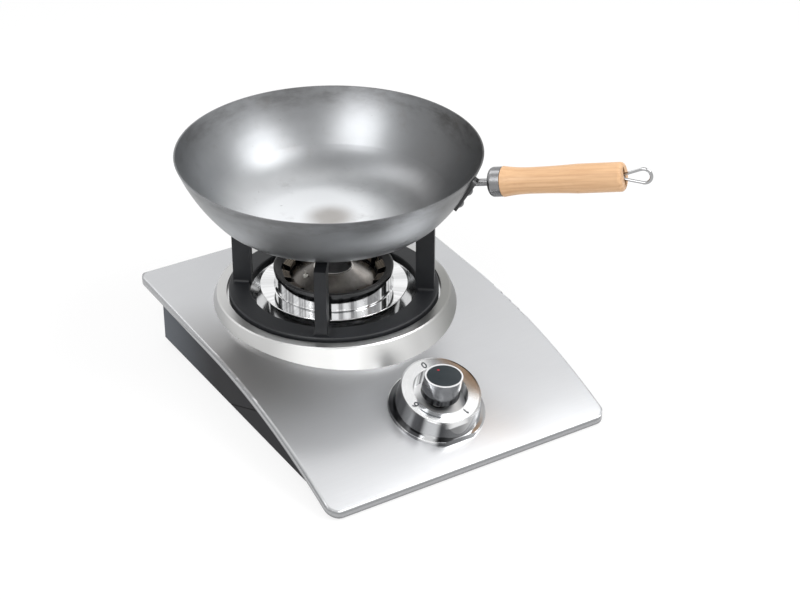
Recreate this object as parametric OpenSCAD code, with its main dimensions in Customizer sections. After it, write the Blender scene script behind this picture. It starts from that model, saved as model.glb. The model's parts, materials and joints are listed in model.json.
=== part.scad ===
// Table-top wok burner with its wok. Sizes are in millimetres.
// +Z is up and +Y points to the back. The origin is on the table, under the burner's centre.

/* [Panel] */
// Width of the steel top
panel_w = 318; // [312:1:340]
// Distance from the burner axis to the back edge of the top
panel_back = 142; // [136:1:165]
// Distance from the burner axis to the front edge of the top
panel_front = 268; // [262:1:280]
// Height of the top face over the table at the burner axis
panel_axis_z = 61.6; // [60:0.2:70]
// Rise of the flat rear part, in degrees
panel_slope = 1.9; // [1:0.1:2.4]
// Distance in front of the burner axis where the curve begins
curve_start = 32; // [20:1:44]
// Radius of the curved front part
curve_r = 670; // [650:5:760]
// Thickness of the top's sheet
panel_sheet = 1.2; // [0.8:0.1:1.6]
// Depth of the folded skirt
skirt_h = 7; // [5:0.5:9]
// Corner radius of the top in plan
corner_r = 14; // [8:1:22]
// Outer radius of the folds
fold_r = 3; // [2:0.1:4]

/* [Housing] */
// Width over the dark side walls
housing_w = 299.6; // [292:0.2:304]
// Distance from the burner axis to the back wall
housing_back = 102; // [98:1:125]
// Thickness of the housing's sheet
housing_sheet = 1.2; // [0.8:0.1:1.6]
// Distance in front of the burner axis where the side seam begins
seam_start = 48.6; // [40:0.2:70]
// Rise of the side seam, in degrees
seam_angle = 23.3; // [18:0.1:30]
// Width of the inward flange along the bottom of each side wall
flange_w = 9; // [7:0.5:12]
// Height of the feet
foot_h = 5; // [4:0.1:7]
// Radius of the feet
foot_r = 9.5; // [8:0.1:11]

/* [Collar and drip bowl] */
// Outer radius of the collar's flat top
collar_r = 121.8; // [119:0.2:124]
// Height of the collar's top over the panel at the burner axis
collar_rise = 10.9; // [10:0.1:16]
// Steepness of the collar's skirt, in degrees
collar_angle = 66; // [58:1:75]
// Radius of the collar's inner lip
lip_r = 112; // [110.5:0.1:114]
// Thickness of the collar's sheet
collar_sheet = 1.2; // [0.8:0.1:1.6]
// Depth of the ledge below the collar's top
ledge_drop = 5.7; // [4:0.1:6]
// Width of the ledge
ledge_w = 9; // [6:0.5:12]
// Thickness of the drip bowl's sheet
bowl_sheet = 0.8; // [0.6:0.1:1.2]
// Radius of the drip bowl's mouth
bowl_mouth_r = 90; // [86:0.5:95]
// Depth of the drip bowl
bowl_depth = 9.8; // [8:0.1:12]

/* [Burner] */
// Outer radius of the chrome sleeve
sleeve_r = 61; // [60:0.1:62]
// Height of the chrome sleeve
sleeve_h = 17.7; // [15:0.1:22]
// Radius of the chrome flange
flange_r = 77; // [74:0.5:80]
// Thickness of the chrome sheet
chrome_sheet = 1.2; // [0.8:0.1:1.6]
// Outer radius of the flame ring
ring_r = 62.4; // [62:0.1:64]
// Height of the flame ring's outer band
band_h = 4.7; // [3.5:0.1:6]
// Number of port blocks in the flame ring
block_count = 12; // [8:1:14]
// Number of slots in a port block
slot_count = 6; // [4:1:7]
// Width of a slot
slot_w = 1.1; // [0.8:0.05:1.3]
// Radius of the air hole in the flame cone
air_r = 18.8; // [15:0.1:21]
// Radius of the mixing tube
mixer_r = 10; // [8.5:0.1:11]
// Bore of the mixing tube
mixer_bore_r = 6.5; // [5:0.1:7]
// Radius of the burner's posts
post_r = 4; // [3.4:0.1:4.5]
// Radius of the ceramic of the spark electrode
electrode_r = 2.6; // [2.2:0.1:3]

/* [Pan support] */
// Outer radius of the ring
trivet_out_r = 109.5; // [107:0.1:110]
// Inner radius of the ring
trivet_in_r = 87.5; // [84:0.5:90]
// Height of the ring
trivet_h = 8.2; // [6:0.1:10]
// Height of the legs over the ring
leg_h = 77.05; // [60:0.05:90]
// Thickness of the legs
leg_w = 12; // [9:0.5:16]
// Outer radius of the legs
leg_out_r = 105; // [102:0.5:106]
// Inner radius of the legs
leg_in_r = 86; // [84:0.5:90]
// Radius that the fingers reach in to
finger_r = 71; // [68:0.5:76]
// Height of the fingers
finger_h = 6; // [4:0.5:9]

/* [Knob] */
// Distance of the knob in front of the burner axis
knob_dist = 199; // [196:0.5:206]
// Radius of the chrome bezel at the panel
bezel_r = 48.4; // [46:0.1:50]
// Radius of the bezel's upper edge
bezel_top_r = 40.3; // [38:0.1:42]
// Height of the bezel on the knob's axis
bezel_h = 25.3; // [24:0.1:30]
// Tilt of the dial towards the front, in degrees
dial_tilt = 6.4; // [0:0.1:8]
// Radius of the well inside the dial
well_r = 27.5; // [25:0.5:29]
// Height of the bezel's well over the panel
well_h = 10.4; // [9:0.1:11]
// Radius of the knob
knob_r = 18.5; // [16:0.1:19.5]
// Height of the knob's top over the panel, on its axis
knob_top = 46.5; // [44:0.1:54]
// Slant of the knob's top towards the back, in degrees
top_slant = 11.8; // [0:0.1:14]
// Height of the knob's lower edge over the panel
knob_skirt_h = 23.5; // [21:0.5:26]
// Travel of the knob when it is pushed in
knob_travel = 4; // [2:0.1:4.5]
// Radius of the spindle
spindle_r = 3; // [2.5:0.1:3.5]
// Radius of the gas tap's body
valve_r = 13; // [11:0.1:13.5]
// Depth of the gas tap's body under the panel
valve_depth = 22; // [20:0.1:23]
// Radius of the gas pipes
pipe_r = 4; // [3:0.1:5]
// Sideways place of the gas inlet
inlet_x = -70; // [-100:1:-66]
// Radius of the inlet's thread
thread_r = 6.58; // [6:0.01:7]

/* [Wok] */
// Radius of the flat bottom of the wok
wok_flat_r = 73.9; // [68:0.1:76]
// Radius of the lower curve of the wok's wall
wok_low_r = 65; // [60:0.5:72]
// Radius of the upper curve of the wok's wall
wok_high_r = 187; // [170:1:200]
// Steepness where the two curves meet, in degrees
wok_meet = 50; // [47:0.5:53]
// Height of the wok
wok_h = 77.55; // [74:0.05:80]
// Thickness of the wok's steel
wok_sheet = 1.5; // [1:0.1:2]
// Direction of the handle, in degrees from +X
handle_dir = -52; // [-75:1:-30]
// Rise of the handle, in degrees
handle_tilt = 12.5; // [8:0.1:18]
// Distance of the ferrule from the bracket, away from the wok's axis
handle_out = 29.6; // [24:0.1:38]
// Height of the ferrule over the bracket
handle_up = 25.1; // [22:0.1:28]
// Length of the ferrule
ferrule_len = 13.3; // [10:0.1:18]
// Radius of the ferrule
ferrule_r = 14.8; // [14:0.1:17]
// Length of the wooden grip
grip_len = 122.7; // [100:0.1:150]
// Radius of the wooden grip at the ferrule
grip_r = 15.3; // [14.8:0.1:17]
// Radius of the wooden grip at its far end
grip_end_r = 14.3; // [13.8:0.1:15]
// Depth of the grip's waist
grip_dip = 2.4; // [1.6:0.1:3]
// Radius of the handle's rod
rod_r = 3.6; // [3:0.1:4.5]
// Length of the hanging loop
loop_len = 32; // [26:0.5:40]
// Half width of the hanging loop's far end, at the middle of its wire
loop_r = 7.2; // [6:0.1:9]
// Radius of the loop's wire
loop_wire_r = 1.5; // [1.3:0.1:2]

/* [Hidden] */
$fn = 96;

// Clearances: fixed faces, loose pieces, running fits, and how far a cut runs past its face
seat_gap = 0.05;
rest_gap = 0.3;
run_gap = 0.06;
overrun = 1;

// The panel's side profile: a flat rear part that runs into a curve at its front
tangent_z = panel_axis_z - curve_start * tan(panel_slope);
arc_y = -curve_start + curve_r * sin(panel_slope);
arc_z = tangent_z - curve_r * cos(panel_slope);
function panel_lean(y) = y > -curve_start ? panel_slope : asin((arc_y - y) / curve_r);
function panel_z(y) = y > -curve_start ? panel_axis_z + y * tan(panel_slope)
    : arc_z + curve_r * cos(panel_lean(y));
over_turn = 2;
curve_steps = 720;
curve_turn = panel_lean(-panel_front) - panel_slope + over_turn;
flat_len = (panel_back + curve_start) / cos(panel_slope) + overrun;
table_clear = 2;

// Heights up the stack, from the panel to the wok
collar_z = panel_axis_z + collar_rise;
panel_deep = collar_z;
ledge_z = collar_z - ledge_drop;
bowl_z = ledge_z + bowl_sheet;
trivet_z = bowl_z + rest_gap;
trivet_top = trivet_z + trivet_h;
tip_z = trivet_top + leg_h;
wok_z = tip_z + rest_gap;

// The housing
wall_x = housing_w / 2 - housing_sheet;
tray_z = foot_h + housing_sheet;
front_clear = 3;
tray_front = panel_front - panel_sheet - front_clear;
screw_r = 2;
screw_head_r = 4;
screw_head_h = 2;
screw_len = 12;
tray_screw_x = wall_x - flange_w / 2;
tray_screw_ys = [housing_back / 2, housing_back / 8, -seam_start + flange_w];
foot_screw_clear = 0.5;
foot_x = wall_x - flange_w - screw_r - foot_screw_clear;
foot_front_right_x = 95;
foot_front_clear = 1.2;
foot_front_y = -(panel_front - panel_sheet - foot_front_clear - foot_r);
foot_rear_y = housing_back - 2 * foot_r;
foot_places = [[-foot_x, foot_rear_y], [foot_x, foot_rear_y], [-foot_x, foot_front_y],
    [foot_front_right_x, foot_front_y]];
foot_top_r = foot_r - foot_h / 8;
vent_count = 9;
vent_w = 5;
vent_h = 22;
vent_pitch = 13;
vent_x = 40;
air_hole_count = 8;
air_hole_r = 7;
air_hole_ring_r = 34;
bracket_len = 18;
bracket_leg = 14;
bracket_sheet = 1.5;
bracket_ys = [-housing_back / 8, housing_back - 2 * bracket_len];

// The burner
lip_clear = 0.8;
hole_clear = 1.2;
burner_hole_r = lip_r + collar_sheet + hole_clear;
collar_edge = 1.2;
shoulder_rise = 4;
shoulder_z = collar_z + shoulder_rise;
shoulder_h = 4;
post_ring_r = sleeve_r;
shoulder_r = post_ring_r + post_r + overrun;
bowl_neck_clear = 2;
bowl_neck_r = shoulder_r + bowl_neck_clear;
bowl_neck_h = 11;
bowl_side = 9;
bowl_floor_r = bowl_mouth_r - bowl_side;
channel_out_r = 52;
channel_in_r = 45;
channel_wall = 4;
channel_inner_wall = 3;
channel_rise = 7.5;
channel_deep = 14.5;
channel_top = shoulder_z + channel_rise;
channel_floor = shoulder_z - channel_deep;
channel_bottom = channel_floor - channel_wall;
channel_mid_r = (channel_out_r + channel_in_r) / 2;
channel_hole_r = 3.4;
mixer_drop = 6;
mixer_z = channel_bottom - mixer_r - mixer_drop;
mixer_front = 92;
neck_r = 8;
post_count = 3;
post_angle = 90;
ring_seat_z = channel_top + rest_gap;
band_z = shoulder_z + sleeve_h + rest_gap;
ring_top = band_z + band_h;
ring_wall_r = channel_out_r + channel_wall + overrun;
ring_rim_w = 2.1;
ring_step_r = 54.5;
ring_step_h = 0.7;
ring_chamfer = 0.8;
ring_lip_h = 3;
ring_lip_w = 1.2;
block_in_r = 45.9;
block_out_r = 55;
block_angle = 17.5;
block_phase = 10;
block_drop = 4.2;
block_fall = 3.5;
slot_pitch = 2.6;
slot_floor = 3;
cone_out_r = 44.7;
cone_sheet = 1;
cone_drop = 1.7;
cone_top = ring_top - cone_drop;
cone_lip_h = 1.2;
cone_tube_h = 6;
electrode_ring_r = 31;
electrode_angle = 171;
electrode_x = electrode_ring_r * cos(electrode_angle);
electrode_y = electrode_ring_r * sin(electrode_angle);
electrode_drop = 6.5;
electrode_top = ring_top - electrode_drop;
electrode_swell_share = 1.4;
electrode_tip_r = 0.8;
electrode_tip_h = 5;
lug_h = 4;
lug_z = channel_bottom + lug_h;
lug_w = 11;
terminal_r = 1.5;
terminal_h = 8;
lead_r = 1.5;
lead_bend_share = 5;
lead_turn_share = 1.3;

// The gas tap under the panel and its pipes
knob_z = panel_z(-knob_dist);
knob_lean = panel_lean(-knob_dist);
valve_top = panel_sheet + rest_gap;
port_depth = 13;
port_r = 6;
port_reach = 7;
port_len = valve_r + port_reach;
port_y = -knob_dist + port_depth * sin(knob_lean);
port_z = knob_z - port_depth * cos(knob_lean);
neck_out_r = 9;
neck_top = 6;
nut_r = 12;
nut_h = 5;
plug_r = 6;
plug_top = 7;
plug_bottom = 18.6;
plug_floor = 1.4;
spindle_foot = 11;
pipe_bend_r = 15;
bend_grip = 0.9;
bend_swell = 0.2;
bracket_gap = 11;
nose_gap = 4;
injector_tail = 8;
bracket_y = -mixer_front - bracket_gap;
injector_nose_y = -mixer_front - nose_gap;
injector_tail_y = bracket_y - injector_tail;
injector_r = 6;
nose_r = 4;
inject_plate_w = 26;
inject_plate_rise = 7;
inject_foot_len = 15;
inlet_hex_r = 9;
inlet_hex_len = 8;
inlet_thread_len = 14;
inlet_bore_r = 4;
inlet_inner_len = 16;
inlet_shank_r = 6;
inlet_nut_r = 10.5;
inlet_nut_h = 5;
piezo_r = 6;
piezo_x = 34;
piezo_lift = 1.3;
piezo_ahead = 6;
piezo_len = 35;
piezo_z = tray_z + piezo_r + piezo_lift;
piezo_front_y = -knob_dist - piezo_ahead;
piezo_rear_y = piezo_front_y + piezo_len;
clip_w = 16;
clip_len = 20;

// The bezel and the knob
bead_h = 3;
bezel_lip = 4.5;
bezel_foot_r = bezel_r - bezel_lip;
bezel_sink = 3;
bezel_wall = 2.4;
dial_t = 0.8;
dial_rim = 1.6;
dial_plate_t = 2;
well_wall = 2;
well_floor_t = 1.4;
hub_r = neck_out_r + overrun;
facet_depth = 2.1;
facet_angle = 26;
knob_clear = 0.6;
knob_foot = well_h + knob_travel + knob_clear;
knob_flare = 0.8;
knob_foot_r = knob_r + knob_flare;
boss_r = 8;
flat_angle = 12;
flat_top = 1.5;
flat_run = 15;
cap_rim = 1.6;
cap_r = knob_r - cap_rim;
cap_t = 1.2;
dot_r = 1.2;
dot_share = 0.62;
dot_place = cap_r * dot_share;
spindle_cover = 8;
spindle_top = knob_top - spindle_cover;
spring_r = 5;
spring_wire_r = 0.5;
spring_turns = 5;
spring_steps = 16;
spring_sides = 6;

// The pan support
leg_count = 4;
leg_angle = 53;
leg_fall = 4.2;
leg_shoulder = 2;
leg_fillet = 3;
finger_fillet = 9;
trivet_chamfer = 1;

// The wok and its handle
wok_x = -2.4;
wok_y = 0.2;
wok_meet_p = [wok_flat_r + wok_low_r * sin(wok_meet), wok_low_r * (1 - cos(wok_meet))];
wok_high_c = wok_meet_p + wok_high_r * [-sin(wok_meet), cos(wok_meet)];
plate_slope = 59;
plate_foot = wok_high_c + wok_high_r * [sin(plate_slope), -cos(plate_slope)];
plate_low = 12.5;
plate_high = 29;
plate_w = 15;
plate_t = 2.5;
plate_sink = 3;
plate_corner = 5;
rivet_ups = [-4.5, 13];
rivet_r = 2.5;
rivet_head_r = 4.2;
rivet_head_h = 2;
ferrule_wall = 1.8;
ferrule_end = 2;
ferrule_round = 4.5;
rod_back = 30;
rod_in = 48;
grip_round = 4;
grip_edge = 1.5;
waist_share = 0.22;
swell_share = 0.4;
slot_depth = 5;
slot_half_w = 2.6;
loop_sink = 4;
loop_stem = 16;
loop_near_r = 2.6;

// A flat shape in the Y and Z directions, carried along X and centred on it
module extrude_x(w) {
    multmatrix([[0, 0, 1, -w / 2], [1, 0, 0, 0], [0, 1, 0, 0], [0, 0, 0, 1]]) linear_extrude(w) children();
}

// A section, with its first direction square to the panel and its second along X, carried along the
// panel's side profile
module along_panel() {
    s = panel_slope;
    multmatrix([[0, 0, 1, 0], [-sin(s), -cos(s), 0, arc_y], [cos(s), -sin(s), 0, arc_z], [0, 0, 0, 1]])
        rotate_extrude(angle = curve_turn, $fn = curve_steps) children();
    multmatrix([[0, 1, 0, 0], [-sin(s), 0, cos(s), arc_y], [cos(s), 0, sin(s), arc_z], [0, 0, 0, 1]])
        linear_extrude(flat_len) children();
}

// The section from one depth below the top face down to another
module band_section(drop, deep, half_w) {
    translate([curve_r - deep, -half_w]) square([deep - drop, 2 * half_w]);
}

// All that lies lower than the panel's top face moved down by drop
module under_panel(drop) {
    along_panel() band_section(drop, panel_deep, panel_w);
}

// A square corner with its round taken away
module outer_corner(r) {
    difference() {
        square(r + overrun);
        circle(r = r);
    }
}

// A rectangle with round corners, from -front to back along its second direction
module round_plate(w, front, back, r) {
    translate([-w / 2 + r, -front]) square([w - 2 * r, front + back]);
    translate([-w / 2, -front + r]) square([w, front + back - 2 * r]);
    for (x = [r - w / 2, w / 2 - r], y = [r - front, back - r]) translate([x, y]) circle(r = r);
}

// What the fold takes off a square edge: its arc's centre, and the ways to the end face and to the top
module fold_cut(centre, out, lean, r) {
    reach = 3 * fold_r;
    up = [-sin(lean), cos(lean)];
    extrude_x(panel_w + 2 * overrun) translate(centre) difference() {
        polygon([[0, 0], [out * reach, 0], [out * reach, reach], reach * up]);
        circle(r = r);
    }
}

// The panel as a full block, drawn in by drop on every side
module panel_block(drop, deep) {
    r = fold_r - drop;
    tall = 3 * panel_deep;
    front_y = -panel_front + fold_r;
    front_lean = asin((arc_y - front_y) / (curve_r - fold_r));
    front_c = [front_y, arc_z + (curve_r - fold_r) * cos(front_lean)];
    back_y = panel_back - fold_r;
    back_c = [back_y, panel_z(back_y) - fold_r / cos(panel_slope)];
    difference() {
        along_panel() difference() {
            band_section(drop, deep, panel_w / 2 - drop);
            for (m = [0, 1]) mirror([0, m]) translate([curve_r - fold_r, panel_w / 2 - fold_r])
                outer_corner(r);
        }
        translate([-panel_w, -panel_front + drop - panel_back, -panel_deep])
            cube([2 * panel_w, panel_back, tall]);
        translate([-panel_w, panel_back - drop, -panel_deep]) cube([2 * panel_w, panel_back, tall]);
        for (m = [0, 1]) mirror([m, 0, 0]) {
            translate([panel_w / 2 - corner_r, panel_back - corner_r, -panel_deep]) linear_extrude(tall)
                outer_corner(corner_r - drop);
            translate([panel_w / 2 - corner_r, -panel_front + corner_r, -panel_deep]) linear_extrude(tall)
                mirror([0, 1]) outer_corner(corner_r - drop);
        }
        fold_cut(front_c, -1, front_lean, r);
        fold_cut(back_c, 1, panel_slope, r);
    }
}

module top_panel() {
    color("gainsboro") difference() {
        panel_block(0, skirt_h);
        panel_block(panel_sheet, skirt_h + overrun);
        translate([-panel_w, -panel_front - overrun, 0]) cube([2 * panel_w, panel_front, table_clear]);
        cylinder(r = burner_hole_r, h = panel_deep + overrun);
        at_knob() translate([0, 0, -skirt_h]) cylinder(r = neck_out_r + overrun, h = 2 * skirt_h);
    }
}

module burner_collar() {
    drop = collar_rise + panel_z(0) - panel_z(-collar_r - collar_rise) + overrun;
    thick = collar_sheet / sin(collar_angle);
    foot = collar_r + drop / tan(collar_angle);
    inner = collar_r + collar_sheet / tan(collar_angle) - thick;
    edge_x = collar_edge * cos(collar_angle);
    edge_z = collar_edge * sin(collar_angle);
    color("silver") difference() {
        rotate_extrude() polygon([[lip_r, collar_z], [collar_r - collar_edge, collar_z],
            [collar_r + edge_x, collar_z - edge_z], [foot, collar_z - drop],
            [foot - thick, collar_z - drop], [inner, collar_z - collar_sheet],
            [lip_r + collar_sheet, collar_z - collar_sheet], [lip_r + collar_sheet, ledge_z - collar_sheet],
            [lip_r - ledge_w, ledge_z - collar_sheet], [lip_r - ledge_w, ledge_z], [lip_r, ledge_z]]);
        under_panel(-seat_gap);
    }
}

// The triangle of the low front side wall, from the seam's foot to the front
function tray_side(shift) = let (rise = (tray_front - seam_start) * tan(seam_angle))
    [[-seam_start + shift, foot_h], [-tray_front, foot_h], [-tray_front, foot_h + rise + shift]];

module rear_housing() {
    seam = tray_side(housing_sheet / 2);
    vent_start = vent_x - ((vent_count - 1) * vent_pitch + vent_w) / 2;
    color("dimgray") difference() {
        intersection() {
            union() {
                for (side = [-1, 1]) {
                    translate([side * (wall_x + housing_sheet / 2), 0, 0]) extrude_x(housing_sheet)
                        polygon([[housing_back, foot_h], [housing_back, panel_deep],
                            [-tray_front, panel_deep], seam[2], seam[0]]);
                    translate([side * (wall_x - flange_w / 2) - flange_w / 2, -seam_start + housing_sheet,
                        tray_z + seat_gap]) cube([flange_w, housing_back + seam_start - 2 * housing_sheet,
                        housing_sheet]);
                }
                translate([-housing_w / 2, housing_back - housing_sheet, foot_h])
                    cube([housing_w, housing_sheet, panel_deep]);
            }
            under_panel(panel_sheet + seat_gap);
        }
        translate([inlet_x, housing_back + overrun, port_z]) rotate([90, 0, 0])
            cylinder(r = inlet_shank_r + seat_gap, h = housing_sheet + 2 * overrun);
        for (i = [0 : vent_count - 1])
            translate([vent_start + i * vent_pitch, housing_back - housing_sheet - overrun, port_z])
                cube([vent_w, housing_sheet + 2 * overrun, vent_h]);
        for (side = [-1, 1], y = tray_screw_ys) translate([side * tray_screw_x, y, 0])
            cylinder(r = screw_r + seat_gap, h = 2 * tray_z);
    }
}

module base_tray() {
    bite_y = -seam_start - 3 * housing_sheet / tan(seam_angle);
    color("dimgray") difference() {
        union() {
            translate([-wall_x + seat_gap, -tray_front, foot_h]) cube([2 * (wall_x - seat_gap),
                tray_front + housing_back - housing_sheet - seat_gap, housing_sheet]);
            translate([-housing_w / 2, -tray_front, foot_h])
                cube([housing_w, tray_front + bite_y, housing_sheet]);
            intersection() {
                for (side = [-1, 1]) translate([side * (wall_x + housing_sheet / 2), 0, 0])
                    extrude_x(housing_sheet) polygon(tray_side(0));
                under_panel(panel_sheet + seat_gap);
            }
        }
        for (side = [-1, 1], y = tray_screw_ys) translate([side * tray_screw_x, y, 0])
            cylinder(r = screw_r + seat_gap, h = 2 * tray_z);
        for (p = foot_places) translate(p) cylinder(r = screw_r + seat_gap, h = 2 * tray_z);
        at_posts() cylinder(r = screw_r + seat_gap, h = 2 * tray_z);
        for (i = [0 : air_hole_count - 1]) rotate(360 / air_hole_count * i) translate([air_hole_ring_r, 0, 0])
            cylinder(r = air_hole_r, h = 2 * tray_z);
    }
}

// Angle brackets that carry the flat part of the panel on the side walls
module panel_brackets() {
    color("silver") for (side = [0, 1], y = bracket_ys) mirror([side, 0, 0]) translate([0, y, panel_z(y)])
        rotate([panel_slope, 0, 0]) translate([wall_x - seat_gap, 0, -panel_sheet - seat_gap]) {
            translate([-bracket_leg, 0, -bracket_sheet]) cube([bracket_leg, bracket_len, bracket_sheet]);
            translate([-bracket_sheet, 0, -bracket_leg]) cube([bracket_sheet, bracket_len, bracket_leg]);
        }
}

// A screw that stands head down, with the underside of its head at its origin
module screw(len) {
    translate([0, 0, -screw_head_h]) cylinder(r = screw_head_r, h = screw_head_h);
    cylinder(r = screw_r, h = len);
}

module rubber_feet() {
    recess = foot_h - screw_head_h + seat_gap;
    color("black") for (p = foot_places) translate(p) difference() {
        cylinder(r1 = foot_r, r2 = foot_top_r, h = foot_h);
        translate([0, 0, -overrun]) cylinder(r = screw_r + seat_gap, h = foot_h + 2 * overrun);
        translate([0, 0, -overrun]) cylinder(r = screw_head_r + seat_gap, h = recess + overrun);
    }
}

module foot_screws() {
    color("silver") for (p = foot_places) translate([p.x, p.y, foot_h - screw_head_h])
        screw(2 * screw_head_h + foot_h / 2);
}

module tray_screws() {
    color("silver") for (side = [-1, 1], y = tray_screw_ys)
        translate([side * tray_screw_x, y, foot_h]) screw(4 * housing_sheet);
}

module drip_bowl() {
    floor_z = bowl_z - bowl_depth;
    shift = bowl_sheet * tan(atan2(bowl_depth, bowl_mouth_r - bowl_floor_r) / 2);
    out_r = lip_r - lip_clear;
    neck_out = bowl_neck_r + bowl_sheet;
    color("silver") rotate_extrude() polygon([[out_r, bowl_z], [bowl_mouth_r, bowl_z],
        [bowl_floor_r, floor_z], [neck_out, floor_z], [neck_out, floor_z + bowl_neck_h],
        [bowl_neck_r, floor_z + bowl_neck_h],
        [bowl_neck_r, floor_z - bowl_sheet], [bowl_floor_r + shift, floor_z - bowl_sheet],
        [bowl_mouth_r + shift, bowl_z - bowl_sheet], [out_r, bowl_z - bowl_sheet]]);
}

module at_posts() {
    for (i = [0 : post_count - 1]) rotate(post_angle + 360 / post_count * i)
        translate([post_ring_r, 0, 0]) children();
}

module burner_base() {
    wall_r = channel_out_r + channel_wall;
    inner_r = channel_in_r - channel_inner_wall;
    lug_in = electrode_ring_r - lug_w / 2;
    color("lightgray") difference() {
        union() {
            rotate_extrude() polygon([[inner_r, channel_bottom], [wall_r, channel_bottom],
                [wall_r, shoulder_z - shoulder_h], [shoulder_r, shoulder_z - shoulder_h],
                [shoulder_r, shoulder_z], [wall_r, shoulder_z], [wall_r, channel_top],
                [channel_out_r, channel_top], [channel_out_r, channel_floor], [channel_in_r, channel_floor],
                [channel_in_r, channel_top], [inner_r, channel_top]]);
            translate([0, -channel_mid_r, mixer_z])
                cylinder(r = neck_r, h = channel_bottom - mixer_z + overrun);
            translate([0, -mixer_front, mixer_z]) rotate([-90, 0, 0])
                cylinder(r = mixer_r, h = mixer_front - channel_mid_r + mixer_r);
            rotate(electrode_angle) translate([lug_in, -lug_w / 2, lug_z])
                cube([inner_r - lug_in + overrun, lug_w, lug_h]);
        }
        translate([0, -mixer_front - overrun, mixer_z]) rotate([-90, 0, 0])
            cylinder(r = mixer_bore_r, h = mixer_front - channel_mid_r + mixer_bore_r + overrun);
        translate([0, -channel_mid_r, mixer_z])
            cylinder(r = channel_hole_r, h = channel_floor - mixer_z + overrun);
        translate([electrode_x, electrode_y, lug_z - overrun])
            cylinder(r = electrode_r + seat_gap, h = lug_h + 2 * overrun);
        at_posts() {
            translate([0, 0, shoulder_z - shoulder_h - overrun])
                cylinder(r = screw_r + seat_gap, h = shoulder_h + 2 * overrun);
            translate([0, 0, shoulder_z - screw_head_h])
                cylinder(r1 = screw_r + seat_gap, r2 = screw_head_r, h = screw_head_h);
        }
    }
}

module burner_posts() {
    len = shoulder_z - shoulder_h - tray_z;
    color("silver") at_posts() translate([0, 0, tray_z]) difference() {
        cylinder(r = post_r, h = len);
        translate([0, 0, -overrun]) cylinder(r = screw_r + seat_gap, h = screw_len + overrun);
        translate([0, 0, len - screw_len]) cylinder(r = screw_r + seat_gap, h = screw_len + overrun);
    }
}

// Countersunk screws through the burner's shoulder
module burner_screws() {
    flush = 2 * seat_gap;
    color("silver") at_posts() {
        translate([0, 0, shoulder_z - screw_len]) cylinder(r = screw_r, h = screw_len - screw_head_h);
        translate([0, 0, shoulder_z - screw_head_h])
            cylinder(r1 = screw_r, r2 = screw_head_r - 2 * flush, h = screw_head_h - flush);
    }
}

module post_screws() {
    color("silver") at_posts() translate([0, 0, foot_h]) screw(screw_len);
}

module burner_skirt() {
    inner_r = sleeve_r - chrome_sheet;
    top = shoulder_z + chrome_sheet;
    bend = 2 * chrome_sheet;
    edge = chrome_sheet / 2;
    color("white") rotate_extrude() {
        translate([inner_r, shoulder_z]) square([chrome_sheet, sleeve_h]);
        translate([inner_r, shoulder_z]) square([flange_r - edge - inner_r, chrome_sheet]);
        translate([flange_r - edge, shoulder_z + edge]) circle(r = edge);
        translate([sleeve_r, top]) difference() {
            square(bend);
            translate([bend, bend]) circle(r = bend);
        }
    }
}

// One slot of a port block, open to the top and to the middle
module port_slot(angle) {
    rotate(angle) translate([block_in_r - overrun, -slot_w / 2, ring_seat_z + slot_floor])
        cube([block_out_r - block_in_r - overrun, slot_w, ring_top - ring_seat_z]);
}

module flame_ring() {
    block_top = ring_top - block_drop;
    lip_out = channel_out_r - rest_gap;
    foot_r = lip_out - ring_lip_w;
    color("black") difference() {
        union() {
            rotate_extrude() polygon([[foot_r, ring_seat_z - ring_lip_h], [lip_out, ring_seat_z - ring_lip_h],
                [lip_out, ring_seat_z], [ring_wall_r, ring_seat_z], [ring_wall_r, band_z], [ring_r, band_z],
                [ring_r, ring_top - ring_chamfer], [ring_r - ring_chamfer, ring_top],
                [ring_r - ring_rim_w, ring_top], [ring_step_r, band_z + ring_step_h],
                [foot_r + ring_lip_w, ring_seat_z + slot_floor], [foot_r, ring_seat_z + slot_floor]]);
            for (i = [0 : block_count - 1]) rotate(block_phase + 360 / block_count * i - block_angle / 2)
                rotate_extrude(angle = block_angle) polygon([[block_in_r, ring_seat_z],
                    [lip_out, ring_seat_z], [block_out_r, block_top - block_fall], [block_out_r, block_top],
                    [block_in_r, block_top - block_fall]]);
        }
        for (i = [0 : block_count - 1], k = [0 : slot_count - 1])
            port_slot(block_phase + 360 / block_count * i + (k - (slot_count - 1) / 2) * slot_pitch);
    }
}

module flame_cone() {
    lip_out = air_r + cone_sheet;
    base = channel_top + seat_gap;
    thick = cone_sheet / cos(atan2(cone_top - base, cone_out_r - lip_out));
    color("lightgray") difference() {
        rotate_extrude() polygon([[cone_out_r, base], [cone_out_r, base + cone_sheet], [lip_out, cone_top],
            [lip_out, cone_top + cone_lip_h], [air_r, cone_top + cone_lip_h], [air_r, cone_top - cone_tube_h],
            [lip_out, cone_top - cone_tube_h], [lip_out, cone_top - thick],
            [channel_in_r - channel_inner_wall, base]]);
        translate([electrode_x, electrode_y, lug_z]) cylinder(r = electrode_r + cone_sheet / 2, h = ring_top);
    }
}

module spark_electrode() {
    collar_top = 2 * lug_h + lug_z;
    swell_r = electrode_swell_share * electrode_r;
    color("white") translate([electrode_x, electrode_y, 0]) {
        translate([0, 0, lug_z - lug_h]) cylinder(r = electrode_r, h = electrode_top - lug_z + lug_h);
        translate([0, 0, lug_z + lug_h]) cylinder(r = swell_r, h = collar_top - lug_z - lug_h);
        translate([0, 0, electrode_top]) cylinder(r = electrode_tip_r, h = electrode_tip_h);
        translate([0, 0, lug_z - lug_h - terminal_h]) cylinder(r = terminal_r, h = terminal_h);
    }
}

// A round bar from one point to another
module stick(a, b, r) {
    d = b - a;
    translate(a) rotate([0, acos(d.z / norm(d)), atan2(d.y, d.x)]) cylinder(r = r, h = norm(d));
}

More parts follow.
